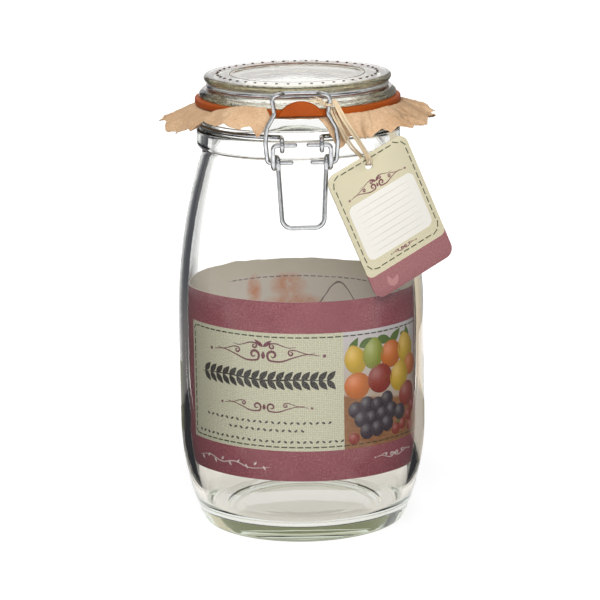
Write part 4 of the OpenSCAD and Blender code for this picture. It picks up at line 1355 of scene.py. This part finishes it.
def floor_finish():
    """Pale floor, a little darker and warmer beside and under the jar, as glass shows it."""
    f = Finish("pale_floor")
    pale = f.add("BsdfDiffuse", {"Color": (0.36, 0.36, 0.36, 1)})
    out, through = f.from_axis(), f.ray("Transmission")
    near = f.times(through, f.span(out, 0.12, 0.42, 1.0, 0.0))
    under = f.times(through, f.span(out, 0.03, 0.1, 0.26, 0.0))
    glow = f.times(f.times(seen_white(f), f.span(out, 0.1, 0.45, 0.76, 1.0)), f.minus(1.0, under))
    lift = f.add("Emission", {"Color": f.mix(near, WHITE, ink(246, 238, 226)), "Strength": glow})
    return f.done(f.add("AddShader", {0: pale, 1: lift}))


def card_of(name, colour, strength=1.0):
    return Finish(name).glow(colour, strength)


def edge_card(name, colour, low_colour, inner):
    """A card that turns white towards its inner edge and has another colour low down."""
    f = Finish(name)
    x, y, _ = f.axes(f.place())
    edge = f.span(f.times(x, inner), 0.035, 0.07, 1.0, 0.0)
    return f.glow(f.mix(edge, WHITE, f.tone(y, -0.13, -0.085, low_colour, colour)))


def low_card_finish():
    """Dark beside the jar, white further out."""
    f = Finish("low_card")
    return f.glow(f.tone(f.from_axis(), 0.68, 1.08, (0.035, 0.035, 0.036, 1), WHITE))


def side_card_finish():
    """Dark low down, for the barrel, and lighter above, for the lid."""
    f = Finish("side_card")
    return f.glow(f.tone(f.axes(f.place())[1], -0.18, -0.13, DARK_GREY, (0.42, 0.4, 0.35, 1)))


def stage_piece(name, corners, finish):
    """A flat piece of the stage."""
    mesh = bpy.data.meshes.new(name)
    mesh.from_pydata(corners, [], [range(len(corners))])
    mesh.materials.append(finish)
    piece = linked(name, mesh)
    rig.stage(piece)
    return piece


def facing(name, size, place, aim, finish):
    """A rectangle of the stage that faces a point."""
    w, h = size[0] / 2, size[1] / 2
    plane = stage_piece(name, [(-w, -h, 0), (w, -h, 0), (w, h, 0), (-w, h, 0)], finish)
    plane.location = place
    plane.rotation_euler = (Vector(aim) - Vector(place)).to_track_quat("Z", "Y").to_euler()
    return plane


def for_glass(card, through=True, gloss=True):
    """Shows a card to glass and steel alone, through the glass or in its gloss."""
    card.visible_camera = card.visible_diffuse = card.visible_shadow = False
    card.visible_transmission, card.visible_glossy = through, gloss


def studio_card(name, size, place, aim, finish, **seen):
    for_glass(facing(name, size, place, aim, finish), **seen)


def flat_card(name, side, outline, height, finish):
    """A card that lies on the floor to one side, face up."""
    for_glass(stage_piece(name, [(side * x, y, height) for x, y in outline][::side], finish))


DARK_GREY = (0.07, 0.072, 0.076, 1)
DARK_CARD, WHITE_CARD = card_of("dark_card", DARK_GREY), card_of("white_card", WHITE, 1.4)
FRONT_GLOW, OLIVE_CARD = card_of("front_glow", WHITE, 1.1), card_of("olive_card", (0.3, 0.3, 0.2, 1))
SLATE_GROUND = card_of("slate_ground", (0.03, 0.03, 0.033, 1))
CREAM_GROUND = card_of("cream_ground", (0.48, 0.43, 0.37, 1))
SLATE_CARD = edge_card("slate_card", (0.085, 0.088, 0.1, 1), (0.16, 0.15, 0.15, 1), 1)
CREAM_CARD = edge_card("cream_card", ink(228, 214, 190), ink(222, 204, 180), -1)
LOW_CARD, SIDE_CARD = low_card_finish(), side_card_finish()
LOW_OUTLINE = [(0.17, -0.16), (1.1, -0.16), (1.1, 1.1), (0.86, 1.1), (0.24, 0.2), (0.17, 0.0)]
NEAR_OUTLINE = [(0.07, -0.1), (0.2, -0.1), (0.2, 0.065), (0.076, 0.065)]
REAR_OUTLINE = [(0.076, 0.065), (0.2, 0.065), (0.23, 0.2), (0.088, 0.2)]

facing("floor", (12, 12), (0, 0, 0), (0, 0, 1), floor_finish())
studio_card("card_back_left", (0.14, 0.34), (-0.16, 0.2, 0.17), (-0.16, -1, 0.17), SLATE_CARD)
studio_card("card_back_right", (0.14, 0.34), (0.16, 0.2, 0.17), (0.16, -1, 0.17), CREAM_CARD, gloss=False)
for side, label, ground in ((-1, "_left", SLATE_GROUND), (1, "_right", CREAM_GROUND)):
    studio_card("card_side" + label, (0.62, 0.6), (side * 0.33, 0.27, 0.3), (0, 0, 0.3), SIDE_CARD, through=False)
    flat_card("card_low" + label, side, LOW_OUTLINE, 0.004, LOW_CARD)
    flat_card("card_near" + label, side, NEAR_OUTLINE, 0.003, SLATE_GROUND)
    flat_card("card_ground" + label, side, REAR_OUTLINE, 0.003, ground)
    studio_card("card_front" + label, (3, 4), (side * 2.2, -1.4, 0.8), MIDDLE, DARK_CARD, through=False)
studio_card("card_foot", (0.2, 0.04), (0, 0.15, 0.022), (0, -1, 0.022), OLIVE_CARD, gloss=False)
for name, size, place, finish in (
    ("card_front", (6, 4), (0, -2.6, 0.8), DARK_CARD), ("glow_front", (1.1, 1.4), (0, -1.7, 0.6), FRONT_GLOW),
    ("glow_right", (0.45, 0.8), (0.85, -1.1, 0.7), WHITE_CARD),
    ("glow_left", (0.35, 0.8), (-1.0, -0.8, 0.6), WHITE_CARD),
):
    studio_card(name, size, place, MIDDLE, finish, through=False)

# Lamps: size, place and power
for name, size, place, power in (
    ("lamp_key", (1.1, 0.8), (0.28, -1.42, 0.72), 16.6), ("lamp_fill", (0.5, 0.8), (-1.0, -0.8, 0.6), 0.8),
    ("lamp_back", (0.9, 0.9), (-0.75, 1.3, 0.8), 13), ("lamp_top", (0.8, 0.8), (-0.2, -0.8, 1.2), 9),
):
    data = bpy.data.lights.new(name, "AREA")
    data.shape, data.size, data.size_y, data.energy = "RECTANGLE", *size, power
    lamp = linked(name, data)
    lamp.location = place
    lamp.visible_glossy = lamp.visible_transmission = False
    lamp.rotation_euler = (Vector(MIDDLE) - Vector(place)).to_track_quat("-Z", "Y").to_euler()

# World: white where it is seen, and dim light on matt surfaces
SURROUND_LIGHT = 0.11
surround = Finish("white_surround", world=True)
level = surround.span(seen_white(surround), 0.0, 1.0, SURROUND_LIGHT, 1.0)
scene.world = surround.done(surround.add("Background", {"Color": WHITE, "Strength": level}), kind="World")

with open("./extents.json", "w") as size_file:
    json.dump({"cad": cad_box, "visual": [list(corner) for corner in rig.bounds()]}, size_file)
